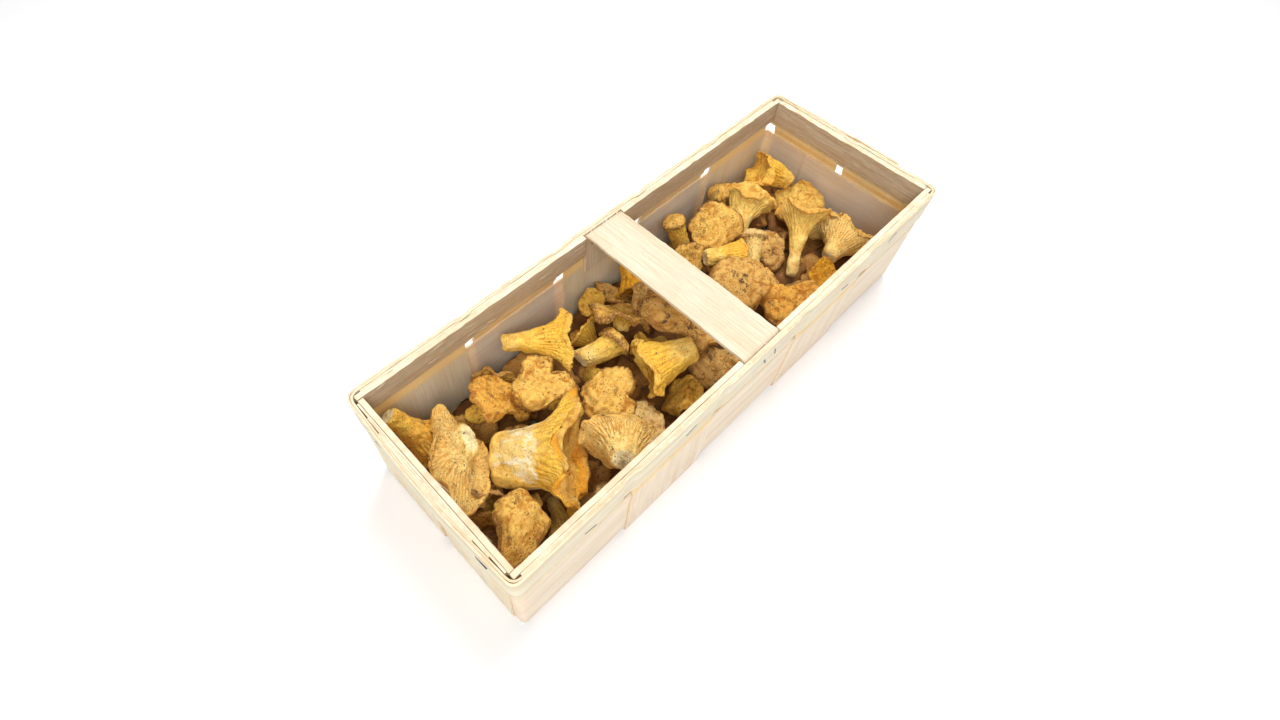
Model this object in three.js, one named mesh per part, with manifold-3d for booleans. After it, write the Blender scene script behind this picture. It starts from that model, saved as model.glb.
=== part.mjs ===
// Chip-wood basket filled with chanterelles. Millimetres, +Z up, X along the basket.
// The origin is the middle of the footprint, on the surface that the basket stands on.
import * as THREE from 'three';
import { mergeVertices } from 'three/addons/utils/BufferGeometryUtils.js';
import manifoldModule from 'manifold-3d';

const wasm = await manifoldModule();
wasm.setup();

// ---------------------------------------------------------------- driving dimensions
const INNER_LENGTH = 382; // clear length between the end laths, at the rim
const INNER_WIDTH = 130; // clear width between the side laths, at the rim
const RIM_HEIGHT = 96; // top of the rim above the table
const FOOTPRINT_HALF = 201; // half of the overall length, to the sprung end of the rim band
const VENEER = 1.0; // thickness of every woven strip
const GAP = 0.3; // air between pieces that lie against each other
const LATH_THICK = 3.4; // sawn laths inside the rim
const LATH_HEIGHT = 18;
const LATH_END_GAP = 1.2; // between a lath's end and the handle or the next lath
const HANDLE_WIDTH = 33; // flat strip across the middle
const HANDLE_THICK = 2.2;
const HANDLE_LEG = 38; // how far its folded ends reach down inside the walls
const STRIP_WIDTH = 70; // cross strips
const STRIP_PITCH = 77.5;
const STRIP_COUNT = 5;
const LONG_STRIP_WIDTH = 60; // lengthwise strips
const LONG_STRIP_GAP = 6.5;
const BELT_BOTTOM = 4.6; // the strip woven round the walls
const BELT_TOP = 63;
const BAND_BOTTOM = 71; // the thin band wrapped twice round the rim
const BAND_LAP = 88; // length of its overlap on the far end wall
const BAND_CORNER = 6;

// Distance from the inner rim outline to the middle of each layer of the wall.
const LAYER_STEP = VENEER + GAP;
const LAYER_INNER = LATH_THICK + GAP + VENEER / 2;
const LAYER_MIDDLE = LAYER_INNER + LAYER_STEP;
const LAYER_OUTER = LAYER_MIDDLE + LAYER_STEP;
// Heights of the middle of each layer of the bottom.
const BOTTOM_OUTER = VENEER / 2;
const BOTTOM_MIDDLE = BOTTOM_OUTER + LAYER_STEP;
const BOTTOM_INNER = BOTTOM_MIDDLE + LAYER_STEP;
const FLOOR_TOP = BOTTOM_INNER + VENEER / 2;
const STRIP_TOP = RIM_HEIGHT - 1.5;

const HALF_LENGTH = INNER_LENGTH / 2;
const HALF_WIDTH = INNER_WIDTH / 2;

const group = new THREE.Group();

function finish(name, color, roughness) {
  const material = new THREE.MeshStandardMaterial({ color, roughness, metalness: 0 });
  material.name = name;
  return material;
}
const laidWood = finish('poplar_veneer', 0xdcc7a4, 0.75);
const sawnWood = finish('sawn_lath', 0xead6b0, 0.8);
const capFlesh = finish('chanterelle', 0xc98f3f, 0.7);

function addPiece(name, geometry, material) {
  const mesh = new THREE.Mesh(geometry, material.clone());
  mesh.name = name;
  group.add(mesh);
  return mesh;
}

// ---------------------------------------------------------------- strips of wood
const SHORTEST_FOLD = 0.3; // a flatter corner stays one point

// Replaces each inner corner of a route by an arc of a few chords.
function foldedRoute(points, radius, chords) {
  const route = [points[0]];
  for (let i = 1; i < points.length - 1; i++) {
    const corner = points[i];
    const back = points[i - 1].clone().sub(corner).normalize();
    const on = points[i + 1].clone().sub(corner).normalize();
    const half = Math.acos(THREE.MathUtils.clamp(back.dot(on), -1, 1)) / 2;
    const reach = Math.min(radius / Math.tan(half), 0.45 * corner.distanceTo(points[i - 1]),
      0.45 * corner.distanceTo(points[i + 1]));
    if (reach < SHORTEST_FOLD) {
      route.push(corner);
      continue;
    }
    const start = corner.clone().addScaledVector(back, reach);
    const end = corner.clone().addScaledVector(on, reach);
    const bend = new THREE.QuadraticBezierCurve(start, corner, end);
    route.push(...bend.getPoints(chords));
  }
  route.push(points[points.length - 1]);
  return route;
}

// A flat strip whose long section follows the route, with its width along the third axis.
function stripAlong(route, thickness, width) {
  const offset = (side) => route.map((point, i) => {
    const before = route[Math.max(i - 1, 0)];
    const after = route[Math.min(i + 1, route.length - 1)];
    const inDirection = point.clone().sub(before);
    const outDirection = after.clone().sub(point);
    const along = inDirection.normalize().add(outDirection.normalize()).normalize();
    const reference = i > 0 ? inDirection : outDirection;
    const stretch = 1 / Math.max(Math.abs(along.dot(reference)), 0.5);
    const normal = new THREE.Vector2(-along.y, along.x);
    return point.clone().addScaledVector(normal, side * stretch * thickness / 2);
  });
  const outline = [...offset(-1), ...offset(1).reverse()];
  return new THREE.ExtrudeGeometry(new THREE.Shape(outline), {
    depth: width, bevelEnabled: false, curveSegments: 1,
  });
}

const vec = (x, y) => new THREE.Vector2(x, y);

// Section axes to basket axes: a strip drawn in (y, z) whose width runs along X.
function acrossBasket(geometry, firstX) {
  const turn = new THREE.Matrix4().makeBasis(
    new THREE.Vector3(0, 1, 0), new THREE.Vector3(0, 0, 1), new THREE.Vector3(1, 0, 0));
  return geometry.applyMatrix4(turn).translate(firstX, 0, 0);
}

// A strip drawn in (x, z) whose width runs along -Y.
function alongBasket(geometry, lastY) {
  const turn = new THREE.Matrix4().makeBasis(
    new THREE.Vector3(1, 0, 0), new THREE.Vector3(0, 0, 1), new THREE.Vector3(0, -1, 0));
  return geometry.applyMatrix4(turn).translate(0, lastY, 0);
}

// The U of a strip that runs up both walls. Strips outside the belt step in under the band.
function wallStripRoute(reach, bottom, outside) {
  const inner = reach + LAYER_INNER;
  const lower = outside ? reach + LAYER_OUTER : inner;
  const left = [vec(-inner, STRIP_TOP)];
  if (outside) {
    left.push(vec(-inner, BAND_BOTTOM - 1), vec(-lower, BELT_TOP + 1));
  }
  left.push(vec(-lower, bottom));
  const right = left.map((point) => vec(-point.x, point.y)).reverse();
  return foldedRoute([...left, ...right], 3, 3);
}

function crossStrips() {
  for (let i = 0; i < STRIP_COUNT; i++) {
    const outside = i % 2 === 1;
    const bottom = outside ? BOTTOM_OUTER : BOTTOM_INNER;
    const route = wallStripRoute(HALF_WIDTH, bottom, outside);
    const middleX = (i - (STRIP_COUNT - 1) / 2) * STRIP_PITCH;
    const strip = stripAlong(route, VENEER, STRIP_WIDTH);
    addPiece(`cross_strip_${i + 1}`, acrossBasket(strip, middleX - STRIP_WIDTH / 2), laidWood);
  }
}

function longStrips() {
  for (const side of [-1, 1]) {
    const middleY = side * (LONG_STRIP_WIDTH + LONG_STRIP_GAP) / 2;
    const route = wallStripRoute(HALF_LENGTH, BOTTOM_MIDDLE, true);
    const strip = stripAlong(route, VENEER, LONG_STRIP_WIDTH);
    addPiece(`long_strip_${side < 0 ? 1 : 2}`, alongBasket(strip, middleY + LONG_STRIP_WIDTH / 2),
      laidWood);
  }
}

// The corners of the wall outline at a layer, from the far right corner round to the far left.
function wallCorners(layer) {
  const x = HALF_LENGTH + layer;
  const y = HALF_WIDTH + layer;
  return [vec(x, -y), vec(-x, -y), vec(-x, y), vec(x, y)];
}

// One strip bent round the four walls. Its ends lap on the far end wall.
function belt() {
  const wallX = HALF_LENGTH + LAYER_MIDDLE;
  const lapX = HALF_LENGTH + LAYER_INNER;
  const lapFrom = 30;
  const lapTo = -20;
  const points = [vec(lapX, lapFrom), vec(lapX, lapTo - 3), vec(wallX, lapTo - 11),
    ...wallCorners(LAYER_MIDDLE), vec(wallX, lapTo)];
  const strip = stripAlong(foldedRoute(points, 3, 3), VENEER, BELT_TOP - BELT_BOTTOM);
  addPiece('belt', strip.translate(0, 0, BELT_BOTTOM), laidWood);
}

// The rim band goes round twice. It bows out on the near end wall, and its outer end has
// sprung away from the far end wall.
function rimBand() {
  const lapStart = BAND_LAP / 2 + 6;
  const lapEnd = lapStart - BAND_LAP;
  const nearBow = FOOTPRINT_HALF - VENEER / 2;
  const innerX = HALF_LENGTH + LAYER_MIDDLE;
  const first = wallCorners(LAYER_MIDDLE);
  const second = wallCorners(LAYER_OUTER);
  const points = [
    vec(innerX, lapStart), first[0], first[1],
    vec(-nearBow + LAYER_STEP, -18), vec(-nearBow + LAYER_STEP, 18), first[2], first[3],
    vec(innerX + 0.2, lapStart + 12), vec(innerX + LAYER_STEP, lapStart - 2),
    second[0], second[1], vec(-nearBow, -18), vec(-nearBow, 18), second[2],
    second[3].clone().add(vec(1.1, 0)), vec(innerX + 2 * LAYER_STEP + 0.1, lapStart - 4),
    vec(FOOTPRINT_HALF - VENEER / 2, lapEnd),
  ];
  const strip = stripAlong(foldedRoute(points, BAND_CORNER, 4), VENEER, RIM_HEIGHT - BAND_BOTTOM);
  addPiece('rim_band', strip.translate(0, 0, BAND_BOTTOM), laidWood);
}

// Sawn laths inside the rim: two on each side wall, parted by the handle, and one on each end.
function rimLaths() {
  const endX = HALF_LENGTH;
  const sideY = HALF_WIDTH;
  const handleEdge = HANDLE_WIDTH / 2 + LATH_END_GAP;
  const chamfer = 0.8;
  const section = new THREE.Shape([
    vec(chamfer, 0), vec(LATH_THICK, 0), vec(LATH_THICK, LATH_HEIGHT), vec(0.3, LATH_HEIGHT),
    vec(0, LATH_HEIGHT - 0.3), vec(0, chamfer),
  ]);
  const lath = (length) => new THREE.ExtrudeGeometry(section, { depth: length, bevelEnabled: false });
  const low = RIM_HEIGHT - 0.5 - LATH_HEIGHT;
  const sideLength = endX + LATH_THICK - handleEdge;
  for (const side of [-1, 1]) {
    for (const end of [-1, 1]) {
      const geometry = lath(sideLength);
      geometry.rotateX(Math.PI / 2).rotateZ(Math.PI / 2);
      if (side < 0) geometry.rotateZ(Math.PI);
      geometry.computeBoundingBox();
      const box = geometry.boundingBox;
      const startX = end < 0 ? -endX - LATH_THICK : handleEdge;
      const startY = side < 0 ? -sideY - LATH_THICK : sideY;
      geometry.translate(startX - box.min.x, startY - box.min.y, low - box.min.z);
      addPiece(`side_lath_${side < 0 ? 'right' : 'left'}_${end < 0 ? 'near' : 'far'}`, geometry,
        sawnWood);
    }
  }
  for (const end of [-1, 1]) {
    const geometry = lath(2 * (sideY - GAP));
    geometry.rotateX(Math.PI / 2);
    if (end < 0) geometry.rotateZ(Math.PI);
    geometry.computeBoundingBox();
    const box = geometry.boundingBox;
    const startX = end < 0 ? -endX - LATH_THICK : endX;
    geometry.translate(startX - box.min.x, -sideY + GAP - box.min.y, low - box.min.z);
    addPiece(`end_lath_${end < 0 ? 'near' : 'far'}`, geometry, sawnWood);
  }
}

// The handle is one flat strip. Its ends are folded down and stapled inside the walls.
function handle() {
  const legY = HALF_WIDTH + LATH_THICK - HANDLE_THICK / 2 - 0.2;
  const topZ = RIM_HEIGHT - HANDLE_THICK / 2;
  const points = [vec(-legY, RIM_HEIGHT - HANDLE_LEG), vec(-legY, topZ), vec(0, topZ + 0.4),
    vec(legY, topZ), vec(legY, RIM_HEIGHT - HANDLE_LEG)];
  const strip = stripAlong(foldedRoute(points, 2.5, 3), HANDLE_THICK, HANDLE_WIDTH);
  addPiece('handle', acrossBasket(strip, -HANDLE_WIDTH / 2), sawnWood);
}

// ---------------------------------------------------------------- one chanterelle
// Shapes in cap radii: height from the cut foot to the margin, stem radius, how late the
// stem flares into the cap, hollow of the top, how far the margin turns down, waviness.
const TRUMPET = { height: 1.3, stem: 0.36, flare: 2.1, dish: 0.34, droop: 0, lobes: 0.1, ruffle: 0.1 };
const PLATE = { height: 0.85, stem: 0.3, flare: 3.6, dish: 0.14, droop: 0.08, lobes: 0.15, ruffle: 0.1 };
const BUTTON = { height: 1.7, stem: 0.5, flare: 5, dish: -0.3, droop: 0.3, lobes: 0.08, ruffle: 0.04 };
const FAN = { height: 1.2, stem: 0.3, flare: 1.7, dish: 0.36, droop: 0, lobes: 0.1, ruffle: 0.16,
  spread: 0.3 };
const LIP = 0.13; // thickness of the margin, in cap radii
const RIDGE = 0.055; // depth of the ridges under the cap, in cap radii
const UNDER_HEIGHTS = [0, 0.1, 0.45, 0.72, 0.9]; // rings up the stem and the ridged underside
const COARSE_HEIGHTS = [0, 0.5, 0.85];
const PLAIN = { spread: 0, bend: 0, flat: 0, oval: 0, notch: 0, notchAt: 0, notchWidth: 0.35, roll: 0 };
const TOP_RINGS = [0.9, 0.5]; // rings over the cap

// A repeatable draw between 0 and 1.
function draw(seed, index) {
  const spread = Math.sin(seed * 12.9898 + index * 78.233) * 43758.5453;
  return spread - Math.floor(spread);
}

// A seeded closed wave round the cap, about -1 to 1.
function capWave(seed, lowest, highest, angle) {
  let sum = 0;
  for (let k = lowest; k <= highest; k++) {
    const strength = (0.4 + draw(seed, k)) / Math.sqrt(k);
    sum += strength * Math.cos(k * angle + 2 * Math.PI * draw(seed, k + 20));
  }
  return sum;
}

// One chanterelle standing on its foot at the origin, with its ridges as alternate segments.
function chanterelle(look, segments, coarse = false) {
  const form = { ...PLAIN, ...look.form, ...look };
  const R = form.cap;
  const H = form.height * R;
  const stem = form.stem * R;
  const lip = LIP * R;
  const profile = [vec(0, 0)];
  for (const h of coarse ? COARSE_HEIGHTS : UNDER_HEIGHTS) {
    const foot = h === 0 ? 0.72 : 0.9 + 0.1 * h;
    profile.push(vec(stem * foot + (R - stem) * h ** form.flare, H * h));
  }
  profile.push(vec(R, H + 0.4 * lip));
  for (const ring of coarse ? [] : TOP_RINGS) {
    profile.push(vec(R * ring, H + lip - form.dish * R * (1 - ring * ring)));
  }
  profile.push(vec(0, H + lip - form.dish * R));
  const geometry = new THREE.LatheGeometry(profile, segments).rotateX(Math.PI / 2);
  const ridged = coarse ? [2, 3] : [3, 4, 5];
  const position = geometry.attributes.position;
  for (let i = 0; i < position.count; i++) {
    const ring = i % profile.length;
    const segment = Math.floor(i / profile.length) % segments;
    const r = profile[ring].x;
    const h = profile[ring].y;
    const angle = 2 * Math.PI * segment / segments;
    const capness = THREE.MathUtils.clamp((r - stem) / (R - stem), 0, 1);
    const offNotch = Math.abs(Math.atan2(Math.sin(angle - form.notchAt), Math.cos(angle - form.notchAt)));
    let grow = 1 + capness * (form.lobes * capWave(form.seed, 1, 4, angle) + form.spread * Math.cos(angle));
    grow -= capness * form.notch * Math.exp(-((offNotch / form.notchWidth) ** 2));
    const under = ridged.includes(ring);
    if (under && segment % 2 === 1) grow -= RIDGE * R / Math.max(r, 0.3 * R);
    let x = r * grow * Math.cos(angle);
    let y = r * grow * Math.sin(angle);
    let z = h + capness ** 2 * R * form.ruffle * capWave(form.seed + 7, 2, 5, angle);
    z -= form.droop * R * capness ** 3;
    if (under && segment % 2 === 1) z += 0.6 * RIDGE * R;
    x *= (1 + form.flat * (1 - capness)) * (1 - form.oval * capness);
    y *= (1 - form.flat * (1 - capness)) * (1 + 0.4 * form.oval * capness);
    x += form.bend * H * (1 - Math.min(h / H, 1)) ** 2;
    position.setXYZ(i, x, y, z);
  }
  return pose(geometry, form);
}

// Rolls a mushroom about its stem, leans it from upright and turns it in plan.
function pose(geometry, form) {
  const degrees = THREE.MathUtils.degToRad;
  geometry.rotateZ(degrees(form.roll));
  geometry.rotateY(degrees(form.lean));
  geometry.rotateZ(degrees(form.turn));
  return geometry.center();
}

function toSolid(geometry) {
  const bare = geometry.clone();
  bare.deleteAttribute('normal');
  bare.deleteAttribute('uv');
  const merged = mergeVertices(bare, 1e-3);
  const triVerts = [];
  const index = merged.index.array;
  for (let i = 0; i < index.length; i += 3) {
    const [a, b, c] = [index[i], index[i + 1], index[i + 2]];
    if (a !== b && b !== c && a !== c) triVerts.push(a, b, c);
  }
  return new wasm.Manifold(new wasm.Mesh({
    numProp: 3,
    vertProperties: new Float32Array(merged.attributes.position.array),
    triVerts: new Uint32Array(triVerts),
  }));
}

function fromSolid(solid) {
  const mesh = solid.getMesh();
  const geometry = new THREE.BufferGeometry();
  geometry.setAttribute('position', new THREE.BufferAttribute(mesh.vertProperties, 3));
  geometry.setIndex(new THREE.BufferAttribute(mesh.triVerts, 1));
  geometry.computeVertexNormals();
  return geometry;
}

function fused(geometries) {
  let solid = toSolid(geometries[0]);
  for (const geometry of geometries.slice(1)) solid = solid.add(toSolid(geometry));
  return fromSolid(solid);
}

// ---------------------------------------------------------------- how the pile settles
// Each solid is known by the spans of height that it fills over each small cell of the floor.
// A mushroom is set down as near to its own place as it fits without going through another.
// When all are in, they sink one after another, lowest first, until each one touches, but
// one that is wedged against the walls stays up.
const CELL = 1.5;
const MAP_Y = 200;
const SLIDE_CELLS = 6;
const SLIDE_COST = 0.9; // a mushroom would rather sink by this much than slide by 1
const RISE_COST = 4; // and would rather sink by this much than rise by 1
const SINK_ROUNDS = 4;
const SIDE_ROOM = 0.8; // kept between a mushroom and the laths
const HEADROOM = RIM_HEIGHT - HANDLE_THICK - 2;
const LIMIT_X = HALF_LENGTH - SIDE_ROOM;
const LIMIT_Y = HALF_WIDTH - SIDE_ROOM;
const CELL_SHIFT = 0.437; // keeps the cell lines off the corners of the solids
const filled = new Map();

const cellKey = (i, j) => i * MAP_Y + j;

// The heights at which the upright line through each cell crosses the surface, in pairs.
function cellSpans(geometry) {
  const source = geometry.index ? geometry.toNonIndexed() : geometry;
  const p = source.attributes.position;
  const crossings = new Map();
  for (let t = 0; t < p.count; t += 3) {
    const [ax, ay, az] = [p.getX(t), p.getY(t), p.getZ(t)];
    const [bx, by, bz] = [p.getX(t + 1) - ax, p.getY(t + 1) - ay, p.getZ(t + 1) - az];
    const [cx, cy, cz] = [p.getX(t + 2) - ax, p.getY(t + 2) - ay, p.getZ(t + 2) - az];
    const area = bx * cy - by * cx;
    if (Math.abs(area) < 1e-9) continue;
    const firstI = Math.ceil((ax + Math.min(0, bx, cx)) / CELL - CELL_SHIFT);
    const lastI = Math.floor((ax + Math.max(0, bx, cx)) / CELL - CELL_SHIFT);
    const firstJ = Math.ceil((ay + Math.min(0, by, cy)) / CELL - CELL_SHIFT);
    const lastJ = Math.floor((ay + Math.max(0, by, cy)) / CELL - CELL_SHIFT);
    for (let i = firstI; i <= lastI; i++) {
      for (let j = firstJ; j <= lastJ; j++) {
        const px = (i + CELL_SHIFT) * CELL - ax;
        const py = (j + CELL_SHIFT) * CELL - ay;
        const u = (px * cy - py * cx) / area;
        const v = (bx * py - by * px) / area;
        if (u < 0 || v < 0 || u + v > 1) continue;
        const key = cellKey(i, j);
        if (!crossings.has(key)) crossings.set(key, []);
        crossings.get(key).push(az + u * bz + v * cz);
      }
    }
  }
  const spans = new Map();
  for (const [key, heights] of crossings) {
    heights.sort((a, b) => a - b);
    const odd = heights.length % 2 === 1;
    const step = odd ? heights.length - 1 : 1;
    const pairs = [];
    for (let k = 0; k + step < heights.length; k += 2) {
      pairs.push({ low: heights[k], high: heights[k + step] });
    }
    spans.set(key, pairs);
  }
  return spans;
}

// Widens the spans by one cell on every side.
function widened(spans) {
  const around = [];
  for (const i of [-1, 0, 1]) around.push(cellKey(i, -1), cellKey(i, 0), cellKey(i, 1));
  const wide = new Map();
  for (const [key, pairs] of spans) {
    for (const step of around) {
      if (!wide.has(key + step)) wide.set(key + step, []);
      wide.get(key + step).push(...pairs);
    }
  }
  return wide;
}

function fill(spans) {
  for (const [key, pairs] of spans) {
    if (!filled.has(key)) filled.set(key, []);
    filled.get(key).push(...pairs);
  }
}

// The ranges of rise that would take a mushroom's spans through the floor or another solid.
function barredRises(spans, shift, lowest, own) {
  const barred = [[-Infinity, FLOOR_TOP + GAP - lowest]];
  for (const [key, pairs] of spans) {
    const others = filled.get(key + shift);
    if (!others) continue;
    for (const other of others) {
      if (own.has(other)) continue;
      for (const pair of pairs) {
        barred.push([other.low - pair.high - GAP, other.high - pair.low + GAP]);
      }
    }
  }
  return barred.sort((a, b) => a[0] - b[0]);
}

// The free rise with the least cost.
function cheapestRise(barred) {
  const price = (rise) => (rise > 0 ? RISE_COST * rise : -rise);
  let best = Infinity;
  let top = barred[0][1];
  for (const [low, high] of [...barred.slice(1), [Infinity, Infinity]]) {
    if (low > top) {
      const rise = THREE.MathUtils.clamp(0, top, low);
      if (price(rise) < price(best)) best = rise;
    }
    top = Math.max(top, high);
  }
  return { rise: best, cost: price(best) };
}

// How far a mushroom can sink straight down before it touches.
function sinkDepth(barred) {
  let depth = -Infinity;
  for (const [low, high] of barred) {
    if (low < 0 && high <= 1e-6) depth = Math.max(depth, high);
    else if (low < 0) return 0;
  }
  return depth;
}

// Finds a mushroom's place between the walls, and returns the solid with its spans.
function settle(geometry) {
  geometry.computeBoundingBox();
  const start = geometry.boundingBox;
  geometry.translate(
    Math.max(0, -LIMIT_X - start.min.x) - Math.max(0, start.max.x - LIMIT_X),
    Math.max(0, -LIMIT_Y - start.min.y) - Math.max(0, start.max.y - LIMIT_Y), 0);
  geometry.computeBoundingBox();
  const { min, max } = geometry.boundingBox;
  const wide = widened(cellSpans(geometry));
  const nothing = new Set();
  let best = { cost: Infinity };
  for (let i = -SLIDE_CELLS; i <= SLIDE_CELLS; i++) {
    for (let j = -SLIDE_CELLS; j <= SLIDE_CELLS; j++) {
      const dx = i * CELL;
      const dy = j * CELL;
      if (Math.min(min.x + dx + LIMIT_X, LIMIT_X - max.x - dx) < -0.01) continue;
      if (Math.min(min.y + dy + LIMIT_Y, LIMIT_Y - max.y - dy) < -0.01) continue;
      const { rise, cost } = cheapestRise(barredRises(wide, cellKey(i, j), min.z, nothing));
      const total = cost + SLIDE_COST * Math.hypot(dx, dy)
        + 100 * Math.max(0, max.z + rise - HEADROOM);
      if (total < best.cost) best = { cost: total, dx, dy, rise };
    }
  }
  geometry.translate(best.dx, best.dy, best.rise);
  const spans = cellSpans(geometry);
  fill(spans);
  return { geometry, spans };
}

function sinkAll(settled) {
  const lowest = ({ geometry }) => {
    geometry.computeBoundingBox();
    return geometry.boundingBox.min.z;
  };
  for (let round = 0; round < SINK_ROUNDS; round++) {
    settled.sort((a, b) => lowest(a) - lowest(b));
    for (const one of settled.filter(({ wedged }) => !wedged)) {
      const own = new Set([...one.spans.values()].flat());
      const depth = sinkDepth(barredRises(widened(one.spans), 0, lowest(one), own));
      one.geometry.translate(0, 0, depth);
      for (const pair of own) {
        pair.low += depth;
        pair.high += depth;
      }
    }
  }
}

// ---------------------------------------------------------------- the bottom layer
// Three beds of small chanterelles cover the floor. In each they have grown into each other.
const BED_COUNT = 3;
const BED_ROWS = 3;
const BED_COLUMNS = 3;
const BED_HEIGHT = 15;

function bedMembers(index) {
  const length = 2 * LIMIT_X / BED_COUNT;
  const startX = -LIMIT_X + index * length;
  const columnStep = length / BED_COLUMNS;
  const rowStep = 2 * LIMIT_Y / BED_ROWS;
  const members = [];
  for (let column = 0; column < BED_COLUMNS; column++) {
    for (let row = 0; row < BED_ROWS; row++) {
      const seed = 200 + index * 20 + column * BED_ROWS + row;
      const cap = 28 + 3 * draw(seed, 1);
      const geometry = chanterelle({
        form: TRUMPET, cap, seed, height: BED_HEIGHT / cap * (0.7 + 0.1 * draw(seed, 2)),
        dish: 0.08, lean: 6 + 8 * draw(seed, 3), turn: 360 * draw(seed, 4), lobes: 0.06,
        ruffle: 0.05,
      }, 7, true);
      const x = startX + (column + 0.5) * columnStep;
      const y = -LIMIT_Y + (row + 0.5) * rowStep;
      const halfHeight = geometry.boundingBox.max.z;
      geometry.translate(x, y, FLOOR_TOP + GAP + halfHeight);
      members.push(geometry);
    }
  }
  return members;
}

function bottomLayer() {
  for (let index = 0; index < BED_COUNT; index++) {
    const length = 2 * LIMIT_X / BED_COUNT;
    const room = new THREE.BoxGeometry(length - 2 * GAP, 2 * LIMIT_Y, 80);
    room.translate(-LIMIT_X + (index + 0.5) * length, 0, FLOOR_TOP + GAP + 40);
    const pieces = toSolid(fused(bedMembers(index))).intersect(toSolid(room)).decompose();
    pieces.sort((a, b) => b.volume() - a.volume());
    const geometry = fromSolid(pieces[0]);
    fill(cellSpans(geometry));
    addPiece(`bottom_chanterelles_${index + 1}`, geometry, capFlesh);
  }
}

// ---------------------------------------------------------------- the chanterelles on top
// Cap radius, where the middle of each lies, the way its stem points on to the cap in plan,
// its lean from upright, and its roll. They are set down in this order.
const NEAR_PILE = [
  { form: TRUMPET, cap: 33, at: [-124, -21, 54], turn: -45, lean: 76, seed: 22, stem: 0.56,
    height: 1.5, flare: 3, oval: 0.42 },
  { form: TRUMPET, cap: 20, at: [-30, -18, 55], turn: 157, lean: 98, seed: 16, stem: 0.5,
    height: 1.75, oval: 0.3 },
  { form: PLATE, cap: 18.5, at: [-75, -13, 56], turn: -137, lean: 24, seed: 19, notch: 0.34,
    notchAt: 1.62, notchWidth: 0.2, dish: -0.16, droop: 0.14, lobes: 0.08 },
  { form: TRUMPET, cap: 19, at: [-74, 44, 54], turn: -38, lean: 92, seed: 6, height: 2.3,
    stem: 0.36, flare: 2.6, oval: 0.25 },
  { form: PLATE, cap: 21, at: [-96, 23, 52], turn: -134, lean: 14, seed: 5, notch: 0.62,
    notchAt: 2.6, notchWidth: 0.22, dish: -0.14, lobes: 0.14, height: 0.8, oval: 0.2 },
  { form: TRUMPET, cap: 20, at: [-176, 48, 50], turn: -52, lean: 145, seed: 1, stem: 0.36,
    height: 2.1, flare: 3.2, oval: 0.15 },
  { form: PLATE, cap: 29, at: [-166, 13, 55], turn: 158, lean: 142, seed: 2, flat: -0.35,
    stem: 0.34, height: 0.7, oval: 0.4, ruffle: 0.14 },
  { form: PLATE, cap: 19, at: [-120, 32, 52], turn: -20, lean: 35, seed: 4, stem: 0.36,
    height: 1.2, lobes: 0.2, bend: -0.5 },
  { form: FAN, cap: 24, at: [-97, -39, 48], turn: 42, lean: 125, seed: 20, oval: 0.2, stem: 0.4 },
  { form: PLATE, cap: 17, at: [-59, -46, 54], turn: -137, lean: 18, seed: 18, dish: -0.15,
    droop: 0.2 },
  { form: PLATE, cap: 20, at: [-24, 24, 57], turn: 25, lean: 41, seed: 9, ruffle: 0.2,
    height: 0.6 },
  { form: BUTTON, cap: 11.5, at: [-44, 17, 55], turn: 4, lean: 80, roll: 90, seed: 8, bend: 0.4,
    stem: 0.72, height: 2.3 },
  { form: BUTTON, cap: 18, at: [-170, -38, 50], turn: -40, lean: 30, seed: 29, height: 1.1,
    lobes: 0.2, ruffle: 0.14 },
  { form: PLATE, cap: 26, at: [5, -8, 50], turn: -60, lean: 24, seed: 14, lobes: 0.24,
    ruffle: 0.16, height: 0.7 },
  { form: PLATE, cap: 14, at: [-114, 56, 46], turn: 50, lean: 98, seed: 3, ruffle: 0.2 },
  { form: PLATE, cap: 18, at: [-133, 10, 46], turn: -137, lean: 20, roll: 90, seed: 23 },
  { form: TRUMPET, cap: 14, at: [-41, 40, 49], turn: 100, lean: 66, seed: 7, oval: 0.2 },
  { form: PLATE, cap: 16, at: [-27, -42, 48], turn: 120, lean: 50, seed: 17, droop: 0.2 },
  { form: PLATE, cap: 16, at: [-8, 18, 50], turn: -100, lean: 20, roll: 40, seed: 10 },
  { form: TRUMPET, cap: 17, at: [14, 48, 45], turn: -110, lean: 104, seed: 11, oval: 0.2 },
  { form: TRUMPET, cap: 11, at: [-160, -28, 36], turn: -60, lean: 130, seed: 25 },
  { form: TRUMPET, cap: 14, at: [-17, 2, 42], turn: -172, lean: 75, seed: 31, oval: 0.2 },
  { form: PLATE, cap: 18, at: [3, -45, 44], turn: 150, lean: 20, seed: 15 },
  { form: TRUMPET, cap: 11, at: [-143, -44, 46], turn: -113, lean: 78, seed: 27, height: 2.4 },
  { form: BUTTON, cap: 10, at: [-112, -54, 42], turn: -60, lean: 30, seed: 28, height: 1.2 },
  { form: BUTTON, cap: 12, at: [-182, -49, 47], turn: -120, lean: 30, seed: 26, height: 1.3 },
  { form: PLATE, cap: 10, at: [-22, 54, 47], turn: 200, lean: 30, seed: 13, ruffle: 0.2 },
];

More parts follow.
